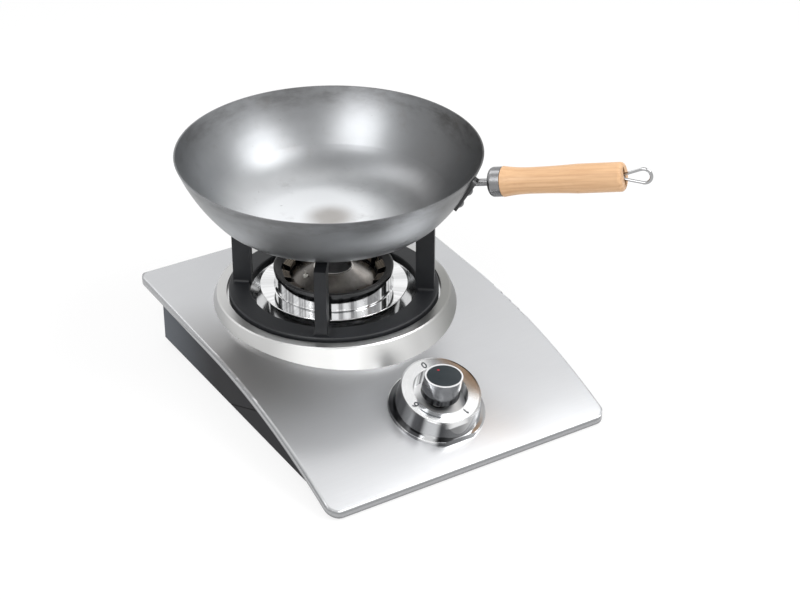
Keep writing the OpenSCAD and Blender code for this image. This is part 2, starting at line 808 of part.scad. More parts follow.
function unit(v) = v / norm(v);
function heading(points, i) = unit(points[i + 1] - points[i]);
function bend_run(points, i, bend_r) = i == 0 || i == len(points) - 1 ? 0
    : bend_r * tan(acos(heading(points, i - 1) * heading(points, i)) / 2);

// A round bar along points, with each corner bent to bend_r. The bends are a little thicker than the
// straight runs, which end inside them.
module pipe(points, r, bend_r) {
    last = len(points) - 1;
    for (i = [0 : last - 1]) {
        u = heading(points, i);
        from = i == 0 ? 0 : bend_run(points, i, bend_r) - bend_grip;
        to = i == last - 1 ? 0 : bend_run(points, i + 1, bend_r) - bend_grip;
        stick(points[i] + from * u, points[i + 1] - to * u, r);
    }
    for (i = [1 : last - 1]) {
        u = heading(points, i - 1);
        v = heading(points, i);
        n = unit(v - (u * v) * u);
        w = cross(u, n);
        c = points[i] - bend_run(points, i, bend_r) * u + bend_r * n;
        multmatrix([[-n.x, u.x, w.x, c.x], [-n.y, u.y, w.y, c.y], [-n.z, u.z, w.z, c.z], [0, 0, 0, 1]])
            rotate_extrude(angle = acos(u * v)) translate([bend_r, 0]) circle(r = r + bend_swell);
    }
}

module ignition_lead() {
    start = [piezo_x, piezo_rear_y, piezo_z];
    finish = [electrode_x, electrode_y, lug_z - lug_h - terminal_h];
    color("white") pipe([start, [piezo_x, -lead_turn_share * mixer_front, piezo_z],
        [electrode_x, -channel_mid_r, piezo_z], [electrode_x, electrode_y, piezo_z], finish], lead_r,
        lead_bend_share * lead_r);
}

module piezo_igniter() {
    color("ivory") translate([piezo_x, piezo_front_y, piezo_z]) rotate([-90, 0, 0])
        cylinder(r = piezo_r, h = piezo_rear_y - piezo_front_y);
}

module piezo_clip() {
    mid_y = (piezo_front_y + piezo_rear_y) / 2;
    color("silver") difference() {
        translate([piezo_x - clip_w / 2, mid_y - clip_len / 2, tray_z])
            cube([clip_w, clip_len, piezo_z - tray_z]);
        translate([piezo_x, mid_y - clip_len, piezo_z]) rotate([-90, 0, 0])
            cylinder(r = piezo_r + seat_gap, h = 2 * clip_len);
    }
}

module injector() {
    color("goldenrod") translate([0, 0, mixer_z]) rotate([-90, 0, 0]) {
        translate([0, 0, injector_tail_y])
            cylinder(r = injector_r, h = bracket_y - injector_tail_y - seat_gap, $fn = 6);
        translate([0, 0, bracket_y - seat_gap]) cylinder(r = nose_r, h = injector_nose_y - bracket_y);
    }
}

module injector_bracket() {
    color("silver") difference() {
        union() {
            translate([-inject_plate_w / 2, bracket_y, tray_z])
                cube([inject_plate_w, bracket_sheet, mixer_z + inject_plate_rise - tray_z]);
            translate([-inject_plate_w / 2, bracket_y, tray_z])
                cube([inject_plate_w, inject_foot_len, bracket_sheet]);
        }
        translate([0, bracket_y - overrun, mixer_z]) rotate([-90, 0, 0])
            cylinder(r = nose_r + seat_gap, h = bracket_sheet + 2 * overrun);
    }
}

// A place in the tap's own frame, whose third direction is the knob's axis
module at_knob() {
    translate([0, -knob_dist, knob_z]) rotate([knob_lean, 0, 0]) children();
}

function knob_point(p) = [p.x, -knob_dist + p.y * cos(knob_lean) - p.z * sin(knob_lean),
    knob_z + p.y * sin(knob_lean) + p.z * cos(knob_lean)];

module outlet_pipe() {
    start = knob_point([0, port_len, -port_depth]);
    corner_y = start.y + (mixer_z - start.z) / tan(knob_lean);
    color("silver") pipe([start, [0, corner_y, mixer_z], [0, injector_tail_y, mixer_z]], pipe_r, pipe_bend_r);
}

module inlet_pipe() {
    color("silver") pipe([[inlet_x, housing_back - inlet_inner_len, port_z], [inlet_x, port_y, port_z],
        [-port_len, port_y, port_z]], pipe_r, pipe_bend_r);
}

module inlet_fitting() {
    total = inlet_inner_len + inlet_hex_len + inlet_thread_len;
    color("goldenrod") translate([inlet_x, housing_back - inlet_inner_len, port_z]) rotate([-90, 0, 0])
        difference() {
            union() {
                cylinder(r = inlet_shank_r, h = inlet_inner_len + overrun);
                translate([0, 0, inlet_inner_len + seat_gap])
                    cylinder(r = inlet_hex_r, h = inlet_hex_len, $fn = 6);
                translate([0, 0, total - inlet_thread_len]) cylinder(r = thread_r, h = inlet_thread_len);
            }
            translate([0, 0, inlet_inner_len]) cylinder(r = inlet_bore_r, h = total);
        }
}

module inlet_nut() {
    color("goldenrod") translate([inlet_x, housing_back - housing_sheet - inlet_nut_h - seat_gap, port_z])
        rotate([-90, 0, 0]) difference() {
            cylinder(r = inlet_nut_r, h = inlet_nut_h, $fn = 6);
            translate([0, 0, -overrun]) cylinder(r = inlet_shank_r + seat_gap, h = inlet_nut_h + 2 * overrun);
        }
}

module valve_body() {
    color("goldenrod") at_knob() difference() {
        union() {
            translate([0, 0, -valve_depth]) cylinder(r = valve_r, h = valve_depth - valve_top);
            translate([0, 0, -valve_top]) cylinder(r = neck_out_r, h = valve_top + neck_top);
            translate([-port_len, 0, -port_depth]) rotate([0, 90, 0]) cylinder(r = port_r, h = port_len);
            translate([0, 0, -port_depth]) rotate([-90, 0, 0]) cylinder(r = port_r, h = port_len);
        }
        translate([0, 0, -plug_bottom - run_gap])
            cylinder(r = plug_r + run_gap, h = plug_bottom - plug_top + 2 * run_gap);
        translate([0, 0, -plug_top]) cylinder(r = spindle_r + run_gap, h = plug_top + neck_top + overrun);
    }
}

module valve_nut() {
    color("goldenrod") at_knob() translate([0, 0, rest_gap]) difference() {
        cylinder(r = nut_r, h = nut_h, $fn = 6);
        translate([0, 0, -overrun]) cylinder(r = neck_out_r + seat_gap, h = nut_h + 2 * overrun);
    }
}

module tap_plug() {
    color("goldenrod") at_knob() difference() {
        translate([0, 0, -plug_bottom]) cylinder(r = plug_r, h = plug_bottom - plug_top);
        translate([0, 0, -plug_bottom + plug_floor]) cylinder(r = spindle_r + run_gap, h = plug_bottom);
    }
}

module spindle() {
    color("silver") at_knob() translate([0, 0, -spindle_foot])
        cylinder(r = spindle_r, h = spindle_foot + spindle_top);
}

// A coil whose wire has its middle on a helix from one height to another
module return_spring() {
    low = neck_top + spring_wire_r + seat_gap;
    high = knob_foot - spring_wire_r - seat_gap;
    count = spring_turns * spring_steps;
    points = [for (i = [0 : count], j = [0 : spring_sides - 1]) let (a = 360 * i / spring_steps,
        b = 360 * j / spring_sides, r = spring_r + spring_wire_r * cos(b))
        [r * cos(a), r * sin(a), low + (high - low) * i / count + spring_wire_r * sin(b)]];
    sides = [for (i = [0 : count - 1], j = [0 : spring_sides - 1]) let (k = (j + 1) % spring_sides,
        a = i * spring_sides, b = a + spring_sides) each [[a + j, a + k, b + k], [a + j, b + k, b + j]]];
    start = [for (j = [1 : spring_sides - 2]) [0, j + 1, j]];
    end = [for (j = [1 : spring_sides - 2]) let (b = count * spring_sides) [b, b + j, b + j + 1]];
    color("silver") at_knob() polyhedron(concat(points), concat(sides, start, end));
}

// The dial's own frame, on the knob's axis and tilted to the front
module in_dial() {
    translate([0, 0, bezel_h]) rotate([dial_tilt, 0, 0]) children();
}

// All that lies lower than the dial's face moved down by drop
module below_dial(drop) {
    wide = 2 * bezel_r;
    deep = 2 * bezel_h;
    in_dial() translate([-wide, -wide, -deep - drop]) cube([2 * wide, 2 * wide, deep]);
}

// What the flat cut at the front takes off, grown by gap
module front_facet(gap) {
    in_dial() translate([0, facet_depth - bezel_top_r, 0]) rotate([-facet_angle, 0, 0])
        translate([-bezel_r, -bezel_r, -bezel_r]) cube([2 * bezel_r, bezel_r + gap, 2 * bezel_r]);
}

module bezel() {
    slope = (bezel_foot_r - bezel_top_r) / bezel_h;
    tall = bezel_h + bezel_r * tan(dial_tilt);
    inner_r = bezel_foot_r - bezel_wall;
    under = well_h - well_floor_t;
    color("white") difference() {
        at_knob() difference() {
            intersection() {
                rotate_extrude() {
                    polygon([[0, -bezel_sink], [bezel_foot_r, -bezel_sink], [bezel_foot_r, 0],
                        [bezel_foot_r - slope * tall, tall], [0, tall]]);
                    translate([0, -bezel_sink]) square([bezel_r, bezel_sink + bead_h / 2]);
                    square([bezel_r - bead_h / 2, bead_h]);
                    translate([bezel_r - bead_h / 2, bead_h / 2]) circle(r = bead_h / 2);
                }
                below_dial(0);
            }
            intersection() {
                rotate_extrude() polygon([[0, -bezel_sink - overrun], [inner_r, -bezel_sink - overrun],
                    [inner_r, 0], [inner_r - slope * tall, tall], [well_r + well_wall, tall],
                    [well_r + well_wall, under], [0, under]]);
                below_dial(dial_t + dial_plate_t);
            }
            in_dial() translate([0, 0, -dial_t]) cylinder(r = bezel_top_r - dial_rim, h = dial_t + overrun);
            translate([0, 0, well_h]) cylinder(r = well_r, h = tall);
            cylinder(r = hub_r, h = tall);
            front_facet(0);
        }
        under_panel(-seat_gap);
    }
}

module dial_plate() {
    out = bezel_top_r - dial_rim - seat_gap;
    color("whitesmoke") at_knob() difference() {
        in_dial() translate([0, 0, seat_gap - dial_t]) cylinder(r = out, h = dial_t - 2 * seat_gap);
        translate([0, 0, well_h]) cylinder(r = well_r, h = 2 * bezel_h);
        front_facet(seat_gap);
    }
}

// The frame of the knob's slanted top
module in_cap() {
    translate([0, 0, knob_top]) rotate([-top_slant, 0, 0]) children();
}

module knob() {
    wide = 2 * knob_foot_r;
    tall = knob_top - knob_skirt_h;
    flare = knob_flare / tall;
    rise = knob_r * tan(top_slant);
    color("silver") at_knob() difference() {
        union() {
            translate([0, 0, knob_skirt_h])
                cylinder(r1 = knob_foot_r, r2 = knob_r - flare * rise, h = tall + rise);
            translate([0, 0, knob_foot]) cylinder(r = boss_r, h = knob_skirt_h - knob_foot + overrun);
        }
        in_cap() translate([-wide, -wide, 0]) cube([2 * wide, 2 * wide, wide]);
        for (side = [0, 1]) mirror([side, 0, 0]) translate([knob_r, 0, knob_top - flat_top])
            rotate([0, flat_angle, 0]) translate([0, -wide, -flat_run]) cube([wide, 2 * wide, flat_run]);
        translate([0, 0, knob_foot - overrun])
            cylinder(r = spindle_r + seat_gap, h = spindle_top - knob_foot + overrun + seat_gap);
        in_cap() translate([0, 0, -cap_t]) cylinder(r = cap_r + seat_gap, h = cap_t + overrun);
    }
}

module knob_cap() {
    color("darkslategray") at_knob() in_cap() difference() {
        translate([0, 0, seat_gap - cap_t]) cylinder(r = cap_r, h = cap_t - seat_gap);
        translate([0, dot_place, -cap_t / 2]) cylinder(r = dot_r + seat_gap, h = cap_t);
    }
}

module knob_pointer() {
    color("red") at_knob() in_cap() translate([0, dot_place, seat_gap - cap_t / 2])
        cylinder(r = dot_r, h = cap_t / 2);
}

// A leg seen from its side: a post with a finger that reaches in under the wok
module leg_side() {
    arch = tip_z - finger_h - finger_fillet;
    polygon([[leg_in_r, trivet_top - trivet_h / 2], [leg_out_r, trivet_top - trivet_h / 2],
        [leg_out_r, tip_z - leg_fall], [leg_in_r + leg_shoulder, tip_z], [finger_r, tip_z],
        [finger_r, tip_z - finger_h / 2], [finger_r + finger_h / 2, tip_z - finger_h],
        [leg_in_r, tip_z - finger_h]]);
    translate([leg_in_r - finger_fillet, arch]) difference() {
        square(finger_fillet);
        circle(r = finger_fillet);
    }
}

module trivet() {
    c = trivet_chamfer;
    color("black") {
        rotate_extrude() polygon([[trivet_in_r, trivet_z], [trivet_out_r, trivet_z],
            [trivet_out_r, trivet_top - c], [trivet_out_r - c, trivet_top], [trivet_in_r + c, trivet_top],
            [trivet_in_r, trivet_top - c]]);
        for (i = [0 : leg_count - 1]) rotate(leg_angle + 360 / leg_count * i) {
            rotate([90, 0, 0]) linear_extrude(leg_w, center = true) leg_side();
            for (side = [0, 1]) mirror([0, side, 0])
                translate([trivet_in_r + c, leg_w / 2, trivet_top]) rotate([90, 0, 90])
                    linear_extrude(leg_out_r - trivet_in_r - c) difference() {
                        square(leg_fillet);
                        translate([leg_fillet, leg_fillet]) circle(r = leg_fillet);
                    }
        }
    }
}

// The inside of the wok's outer face, moved out by grow and filled up to top
module wok_fill(grow, top) {
    reach = wok_high_r + wok_h;
    translate([0, -grow]) square([wok_flat_r, top + grow]);
    intersection() {
        translate([wok_flat_r, wok_low_r]) circle(r = wok_low_r + grow);
        translate([0, -grow]) square([reach, top + grow]);
    }
    intersection() {
        translate(wok_high_c) circle(r = wok_high_r + grow);
        polygon([wok_high_c, wok_high_c + reach * [sin(wok_meet), -cos(wok_meet)], wok_high_c + [reach, 0]]);
        translate([0, -grow]) square([reach, top + grow]);
    }
}

module at_wok() {
    translate([wok_x, wok_y, wok_z]) children();
}

module wok_pan() {
    color("darkgray") difference() {
        at_wok() rotate_extrude() difference() {
            wok_fill(0, wok_h);
            wok_fill(-wok_sheet, wok_h + overrun);
        }
        at_rivets() translate([-plate_t - 2 * wok_sheet, 0, 0]) rotate([0, 90, 0])
            cylinder(r = rivet_r + seat_gap, h = 2 * plate_t + 2 * wok_sheet);
    }
}

// The handle's frame, whose third direction runs out along the handle from the ferrule
module at_handle() {
    at_wok() rotate(handle_dir) translate([plate_foot.x + handle_out, 0, plate_foot.y + handle_up])
        rotate([0, 90 - handle_tilt, 0]) children();
}

// The bracket's frame on the wok's wall: first direction out of the wall, third up along it
module at_plate() {
    at_wok() rotate(handle_dir) translate([plate_foot.x, 0, plate_foot.y]) rotate([0, 90 - plate_slope, 0])
        children();
}

module at_rivets() {
    at_plate() for (u = rivet_ups) translate([0, 0, u]) children();
}

module handle_bracket() {
    color("dimgray") difference() {
        at_plate() translate([-plate_sink, 0, 0]) rotate([90, 0, 90]) linear_extrude(plate_sink + plate_t)
            round_plate(plate_w, plate_low, plate_high, plate_corner);
        at_wok() rotate_extrude($fn = curve_steps) wok_fill(seat_gap, wok_h + plate_high);
        at_rivets() translate([-plate_sink - overrun, 0, 0]) rotate([0, 90, 0])
            cylinder(r = rivet_r + seat_gap, h = plate_sink + plate_t + 2 * overrun);
    }
}

// Rivets with a round head outside and a flat one inside the wok
module handle_rivets() {
    cap_r = (rivet_head_r * rivet_head_r + rivet_head_h * rivet_head_h) / (2 * rivet_head_h);
    inner = wok_sheet + rivet_head_h;
    color("silver") {
        at_rivets() rotate([0, 90, 0]) {
            translate([0, 0, overrun - inner]) cylinder(r = rivet_r, h = inner + plate_t);
            translate([0, 0, plate_t + seat_gap]) rotate_extrude() intersection() {
                translate([0, rivet_head_h - cap_r]) circle(r = cap_r);
                square(cap_r);
            }
        }
        intersection() {
            at_rivets() translate([-inner, 0, 0]) rotate([0, 90, 0]) cylinder(r = rivet_head_r, h = inner);
            at_wok() rotate_extrude($fn = curve_steps) wok_fill(-wok_sheet - seat_gap, wok_h);
        }
    }
}

module handle_rod() {
    block = 2 * plate_w;
    color("silver") difference() {
        at_handle() translate([0, 0, -rod_back]) cylinder(r = rod_r, h = rod_back + rod_in);
        at_plate() translate([plate_t + seat_gap - block, -block / 2, -block])
            cube([block, block, 2 * block]);
    }
}

module ferrule() {
    color("silver") at_handle() rotate_extrude() difference() {
        square([ferrule_r, ferrule_len]);
        translate([ferrule_r - ferrule_round, ferrule_round]) mirror([0, 1]) outer_corner(ferrule_round);
        translate([0, ferrule_end]) square([ferrule_r - ferrule_wall, ferrule_len]);
        translate([0, -overrun]) square([rod_r + seat_gap, ferrule_len]);
    }
}

// The grip's half section: thick at the ferrule, a waist behind it, then the long far part
module grip_section() {
    waist = grip_len * waist_share;
    swell = grip_len * swell_share;
    waist_r = grip_r - grip_dip;
    swell_h = grip_end_r - waist_r;
    front_arc = (waist * waist + grip_dip * grip_dip) / (2 * grip_dip);
    rear_arc = (swell * swell + swell_h * swell_h) / (2 * swell_h);
    difference() {
        union() {
            square([grip_r, waist]);
            square([grip_end_r, grip_len]);
        }
        intersection() {
            translate([waist_r + front_arc, waist]) circle(r = front_arc, $fn = curve_steps);
            square([2 * grip_r, waist]);
        }
        intersection() {
            translate([waist_r + rear_arc, waist]) circle(r = rear_arc, $fn = curve_steps);
            translate([0, waist]) square([2 * grip_r, grip_len]);
        }
        translate([grip_r - grip_edge, grip_edge]) mirror([0, 1]) outer_corner(grip_edge);
        translate([grip_end_r - grip_round, grip_len - grip_round]) outer_corner(grip_round);
    }
}

module handle_grip() {
    tenon = ferrule_len - ferrule_end - seat_gap;
    slot_foot = ferrule_len + grip_len - slot_depth;
    color("burlywood") at_handle() difference() {
        union() {
            translate([0, 0, ferrule_end + seat_gap])
                cylinder(r = ferrule_r - ferrule_wall - seat_gap, h = tenon + overrun);
            translate([0, 0, ferrule_len + seat_gap]) rotate_extrude() grip_section();
        }
        cylinder(r = rod_r + seat_gap, h = rod_in + seat_gap);
        translate([0, 0, slot_foot]) linear_extrude(2 * slot_depth) {
            square([2 * loop_r, 2 * slot_half_w], center = true);
            for (side = [-1, 1]) translate([side * loop_r, 0]) circle(r = slot_half_w);
        }
        translate([0, 0, slot_foot - loop_stem])
            cylinder(r = loop_wire_r + seat_gap, h = loop_stem + overrun);
    }
}

// A drop-shaped wire loop: a narrow bend at the grip, a wide one at the far end, and two straight runs
module hanging_loop() {
    sunk = ferrule_len + grip_len - loop_sink;
    bend_r = loop_wire_r + bend_swell;
    near = [0, 0, sunk + bend_r + loop_near_r];
    far = [0, 0, sunk + loop_len - bend_r - loop_r];
    lean = asin((loop_r - loop_near_r) / (far.z - near.z));
    side_way = [cos(lean), 0, -sin(lean)];
    grip = bend_grip * [sin(lean), 0, cos(lean)];
    color("silver") at_handle() {
        for (side = [0, 1]) mirror([side, 0, 0])
            stick(near + loop_near_r * side_way - grip, far + loop_r * side_way + grip, loop_wire_r);
        translate(near) rotate([-90, 0, 0]) rotate(lean) rotate_extrude(angle = 180 - 2 * lean)
            translate([loop_near_r, 0]) circle(r = bend_r);
        translate(far) rotate([90, 0, 0]) rotate(-lean) rotate_extrude(angle = 180 + 2 * lean)
            translate([loop_r, 0]) circle(r = bend_r);
        translate(near - [0, 0, loop_near_r + loop_stem]) cylinder(r = loop_wire_r, h = loop_stem);
    }
}

top_panel();
burner_collar();
rear_housing();
base_tray();
panel_brackets();
rubber_feet();
foot_screws();
tray_screws();
drip_bowl();
burner_base();
burner_posts();
burner_screws();
post_screws();
burner_skirt();
flame_ring();
flame_cone();
spark_electrode();
ignition_lead();
piezo_igniter();
piezo_clip();
injector();
injector_bracket();
outlet_pipe();
inlet_pipe();
inlet_fitting();
inlet_nut();
valve_body();
valve_nut();
tap_plug();
spindle();
return_spring();
bezel();
dial_plate();
knob();
knob_cap();
knob_pointer();
trivet();
wok_pan();
handle_bracket();
handle_rivets();
handle_rod();
ferrule();
handle_grip();
hanging_loop();
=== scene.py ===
"""Looks of a table-top wok burner with its wok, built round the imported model.

Lengths are in metres. +X is the operator's right, +Y the back and +Z up. The origin is on the table
under the burner's axis.
"""
import json
from math import asin, cos, pi, radians, sin, tan

import bpy
import numpy as np
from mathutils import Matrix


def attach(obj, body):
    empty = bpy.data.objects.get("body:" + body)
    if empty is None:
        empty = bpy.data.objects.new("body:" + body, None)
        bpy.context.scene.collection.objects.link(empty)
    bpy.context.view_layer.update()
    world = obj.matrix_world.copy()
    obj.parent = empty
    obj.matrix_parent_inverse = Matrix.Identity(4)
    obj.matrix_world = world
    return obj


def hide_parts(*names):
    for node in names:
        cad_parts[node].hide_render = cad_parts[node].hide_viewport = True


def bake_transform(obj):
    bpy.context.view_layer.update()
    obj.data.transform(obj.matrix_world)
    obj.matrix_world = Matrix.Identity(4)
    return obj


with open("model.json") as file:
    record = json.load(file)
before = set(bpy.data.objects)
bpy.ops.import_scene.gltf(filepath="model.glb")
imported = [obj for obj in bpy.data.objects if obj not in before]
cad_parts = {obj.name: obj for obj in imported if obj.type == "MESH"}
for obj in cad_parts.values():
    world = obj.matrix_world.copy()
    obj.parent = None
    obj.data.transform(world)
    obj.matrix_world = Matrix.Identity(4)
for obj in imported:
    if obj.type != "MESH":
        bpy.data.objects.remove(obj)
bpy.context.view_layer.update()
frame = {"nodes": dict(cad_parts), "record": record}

# Sizes that the looks share with the solids: the curved top and the seam in the side walls under it
MM = 0.001
CURVE_R = 670 * MM
CURVE_START = -32 * MM
SLOPE = radians(1.9)
AXIS_Z = 61.6 * MM
ARC_Y = CURVE_START + CURVE_R * sin(SLOPE)
ARC_Z = AXIS_Z + CURVE_START * tan(SLOPE) - CURVE_R * cos(SLOPE)
PANEL_HALF_W = 159 * MM
PANEL_HALF_D = 205 * MM
PANEL_MID_Y = -63 * MM
PANEL_CORNER = 14 * MM
SEAM_START = -48.6 * MM
SEAM_RISE = tan(radians(23.3))
SEAM_FOOT = 5 * MM

# The knob, its cap and the dial
KNOB_Y = -199 * MM
KNOB_LEAN = asin((ARC_Y - KNOB_Y) / CURVE_R)
KNOB_Z = ARC_Z + CURVE_R * cos(KNOB_LEAN)
KNOB_TOP = 46.5 * MM
TOP_SLANT = radians(11.8)
KNOB_FRAME = (0, KNOB_Y, KNOB_Z)
KNOB_TURN = (KNOB_LEAN, 0, 0)
CAP_FRAME = (0, KNOB_Y - KNOB_TOP * sin(KNOB_LEAN), KNOB_Z + KNOB_TOP * cos(KNOB_LEAN))
CAP_TURN = (KNOB_LEAN - TOP_SLANT, 0, 0)
DIAL_H = 25.3 * MM
DIAL_TILT = radians(6.4)
DIAL_FACE = -0.05 * MM

# The flame ring
RING_R = 62.4 * MM
RING_TOP = 99.2 * MM
BLOCK_STEP = radians(30)
BLOCK_PHASE = radians(10)
SLOT_PITCH = radians(2.6)

# The wok and its handle
WOK_FRAME = (-2.4 * MM, 0.2 * MM, 153.45 * MM)
HANDLE_DIR = radians(-52)
HANDLE_TILT = radians(12.5)
HANDLE_REACH = 170.4 * MM
HANDLE_RISE = 72.3 * MM
HANDLE_FRAME = (WOK_FRAME[0] + HANDLE_REACH * cos(HANDLE_DIR), WOK_FRAME[1] + HANDLE_REACH * sin(HANDLE_DIR),
                WOK_FRAME[2] + HANDLE_RISE)
HANDLE_TURN = (0, pi / 2 - HANDLE_TILT, HANDLE_DIR)

# Middles of the painted bright reflection on the wok's bottom and of the painted dark reflection on the top
BRIGHT_BOTTOM_PLACE = (WOK_FRAME[0] - 14 * MM, WOK_FRAME[1] + 12 * MM, 0)
DARK_REFLECTION_PLACE = (-146 * MM, -72 * MM, 0)


class Wire:
    """A socket of a finish's node tree. Arithmetic on it adds Math nodes."""

    def __init__(self, finish, socket):
        self.finish = finish
        self.socket = socket

    def math(self, operation, *values):
        """A Math node on this socket and on up to two more values."""
        inputs = dict(enumerate((self,) + values))
        return self.finish.node("ShaderNodeMath", {"operation": operation}, inputs)

    def other(self, key):
        """Another output of the node that this socket belongs to."""
        return Wire(self.finish, self.socket.node.outputs[key])

    def __add__(self, value):
        return self.math("ADD", value)

    def __mul__(self, value):
        return self.math("MULTIPLY", value)

    def __sub__(self, value):
        return self.math("SUBTRACT", value)

    def __truediv__(self, value):
        return self.math("DIVIDE", value)

    def __rsub__(self, value):
        return self.finish.node("ShaderNodeMath", {"operation": "SUBTRACT"}, {0: value, 1: self})

    def __pow__(self, value):
        return self.math("POWER", value)

    __radd__ = __add__
    __rmul__ = __mul__

    def band(self, low, high):
        """0 below low, 1 above high and a smooth step between them."""
        return self.finish.node("ShaderNodeMapRange", {"interpolation_type": "SMOOTHSTEP"},
                                {"Value": self, "From Min": low, "From Max": high})


class Finish:
    """The node tree of a material or of the world, with what changes over a surface made by nodes."""

    def __init__(self, owner):
        owner.use_nodes = True
        self.owner = owner
        self.tree = owner.node_tree
        self.tree.nodes.clear()
        self.object_coords = self.node("ShaderNodeTexCoord", out="Object")

    def put(self, socket, value):
        """Links a wire to a socket, or sets the socket to a plain value."""
        if isinstance(value, Wire):
            self.tree.links.new(value.socket, socket)
        else:
            socket.default_value = value

    def node(self, kind, settings=None, sockets=None, out=0):
        """Any node: its type, its settings, the values or links of its sockets and the output to read."""
        made = self.tree.nodes.new(kind)
        for key, value in (settings or {}).items():
            setattr(made, key, value)
        for key, value in (sockets or {}).items():
            self.put(made.inputs[key], value)
        return Wire(self, made.outputs[out]) if made.outputs else None

    def place(self, location=(0, 0, 0), turn=(0, 0, 0)):
        """Object coordinates seen from a frame at location, turned by turn."""
        return self.node("ShaderNodeMapping", {"vector_type": "TEXTURE"},
                         {"Vector": self.object_coords, "Location": location, "Rotation": turn})

    def stretch(self, vector, scale):
        """Coordinates stretched by a scale for each direction."""
        return self.node("ShaderNodeMapping", None, {"Vector": vector, "Scale": scale})

    def noise(self, vector, scale, detail=3.0, rough=0.55):
        """Cloudy noise between 0 and 1."""
        return self.node("ShaderNodeTexNoise", None,
                         {"Vector": vector, "Scale": scale, "Detail": detail, "Roughness": rough})

    def mix(self, factor, first, second):
        """A colour between first and second."""
        return self.node("ShaderNodeMix", {"data_type": "RGBA"}, {0: factor, 6: first, 7: second}, out=2)

    def bump(self, height, strength, distance):
        """A surface normal from a height."""
        return self.node("ShaderNodeBump", None,
                         {"Height": height, "Strength": strength, "Distance": distance})

    def axes(self, vector):
        """The three coordinates of a vector."""
        x = self.node("ShaderNodeSeparateXYZ", None, {0: vector})
        return x, x.other(1), x.other(2)

    def radius(self, vector):
        """The distance from the local third axis, and the height along it."""
        x, y, height = self.axes(vector)
        return (x * x + y * y) ** 0.5, height

    def angle(self, vector):
        """The direction round the local third axis, in radians."""
        x, y, _ = self.axes(vector)
        return y.math("ARCTAN2", x)

    def rings(self, vector, pitch):
        """Lathe marks: noise that changes only with the distance from the local third axis and the height."""
        radius, height = self.radius(vector)
        ray = self.node("ShaderNodeCombineXYZ", None, {0: radius, 1: height})
        return self.noise(ray, 1 / pitch, 2.0)

    def lobe(self, vector, azimuth, width):
        """1 in a direction round the local third axis, falling softly to 0 at a width from it, in degrees."""
        x, y, _ = self.axes(vector)
        reach, _ = self.radius(vector)
        toward = x * cos(radians(azimuth)) + y * sin(radians(azimuth))
        return (toward / reach).band(cos(radians(width)), 1)

    def upright_bands(self, vector, scale):
        """Noise that changes only round the local third axis: painted reflections of surroundings in mirror
        metal.
        """
        turn = self.angle(vector)
        ray = self.node("ShaderNodeCombineXYZ", None, {0: turn.math("COSINE"), 1: turn.math("SINE")})
        return self.noise(ray, scale, 3.0, 0.6).band(0.38, 0.62)

    def backdrop_share(self):
        """1 for the rays that see the backdrop itself: from the camera, off metal and through glass."""
        camera = self.node("ShaderNodeLightPath", out="Is Camera Ray")
        return camera + camera.other("Is Glossy Ray") + camera.other("Is Transmission Ray")

    def surface(self, color, rough, metal=0.0, specular=0.5, normal=None):
        """The principled surface with these inputs, as the material's output."""
        sockets = {"Base Color": color, "Roughness": rough, "Metallic": metal, "Specular IOR Level": specular}
        if normal is not None:
            sockets["Normal"] = normal
        shader = self.node("ShaderNodeBsdfPrincipled", None, sockets)
        self.node("ShaderNodeOutputMaterial", None, {0: shader})
        return self.owner


def material(name):
    """A new, empty material."""
    return Finish(bpy.data.materials.new(name))


def tone(r, g, b):
    """A colour with full alpha."""
    return (r, g, b, 1.0)


white = tone(1, 1, 1)
black = tone(0, 0, 0)


def shade(color, share):
    """A colour made darker or lighter by a share."""
    return tone(*(min(share * c, 1.0) for c in color[:3]))


def brushed_sheet(name, color, rough):
    """Sheet steel with a fine straight grain along X, with painted shade on its folded edge and a painted
    dark reflection at the left.

    The distance in from the outline finds the fold. The depth below the curved top finds the crease in it
    and its foot.
    """
    f = material(name)
    dark_reflection_steel = tone(0.1, 0.09, 0.08)
    grain = f.noise(f.stretch(f.object_coords, (30, 2600, 30)), 1.0, 5.0, 0.7)
    cloud = f.noise(f.object_coords, 9.0)
    level = grain * 0.6 + cloud * 0.4
    sheet = f.mix(level.band(0.3, 0.7), shade(color, 0.96), shade(color, 1.03))
    x, y, height = f.axes(f.place((0, PANEL_MID_Y, 0)))
    across = (x.math("ABSOLUTE") - (PANEL_HALF_W - PANEL_CORNER)).math("MAXIMUM", 0)
    along = (y.math("ABSOLUTE") - (PANEL_HALF_D - PANEL_CORNER)).math("MAXIMUM", 0)
    inset = PANEL_CORNER - (across * across + along * along) ** 0.5
    fold = 1 - inset.band(1.0 * MM, 2.8 * MM)
    back = y + PANEL_MID_Y
    curve = ARC_Z + (CURVE_R * CURVE_R - (back - ARC_Y) * (back - ARC_Y)) ** 0.5
    flat = AXIS_Z + back * tan(SLOPE)
    depth = flat.math("MINIMUM", curve) - height
    # Painted shade: the fold's skirt is darker, with a dark crease line and a darker foot
    crease_shade = depth.band(0.6 * MM, 1.4 * MM) * (1 - depth.band(2.2 * MM, 3.2 * MM))
    foot_shade = depth.band(5.2 * MM, 6.4 * MM)
    edge = f.mix(crease_shade * 0.4 + foot_shade * 0.5, shade(color, 0.62), shade(color, 0.2))
    # Painted dark reflection: a dim patch on the top at the left, below the collar
    reach, _ = f.radius(f.stretch(f.place(DARK_REFLECTION_PLACE), (1, 0.72, 1)))
    dark_reflection_patch = (1 - reach.band(0, 112 * MM)) * 0.72
    color = f.mix(fold, f.mix(dark_reflection_patch, sheet, dark_reflection_steel), edge)
    return f.surface(color, rough + 0.08 * (grain - 0.5), metal=0.7, normal=f.bump(grain, 0.04, 0.05 * MM))


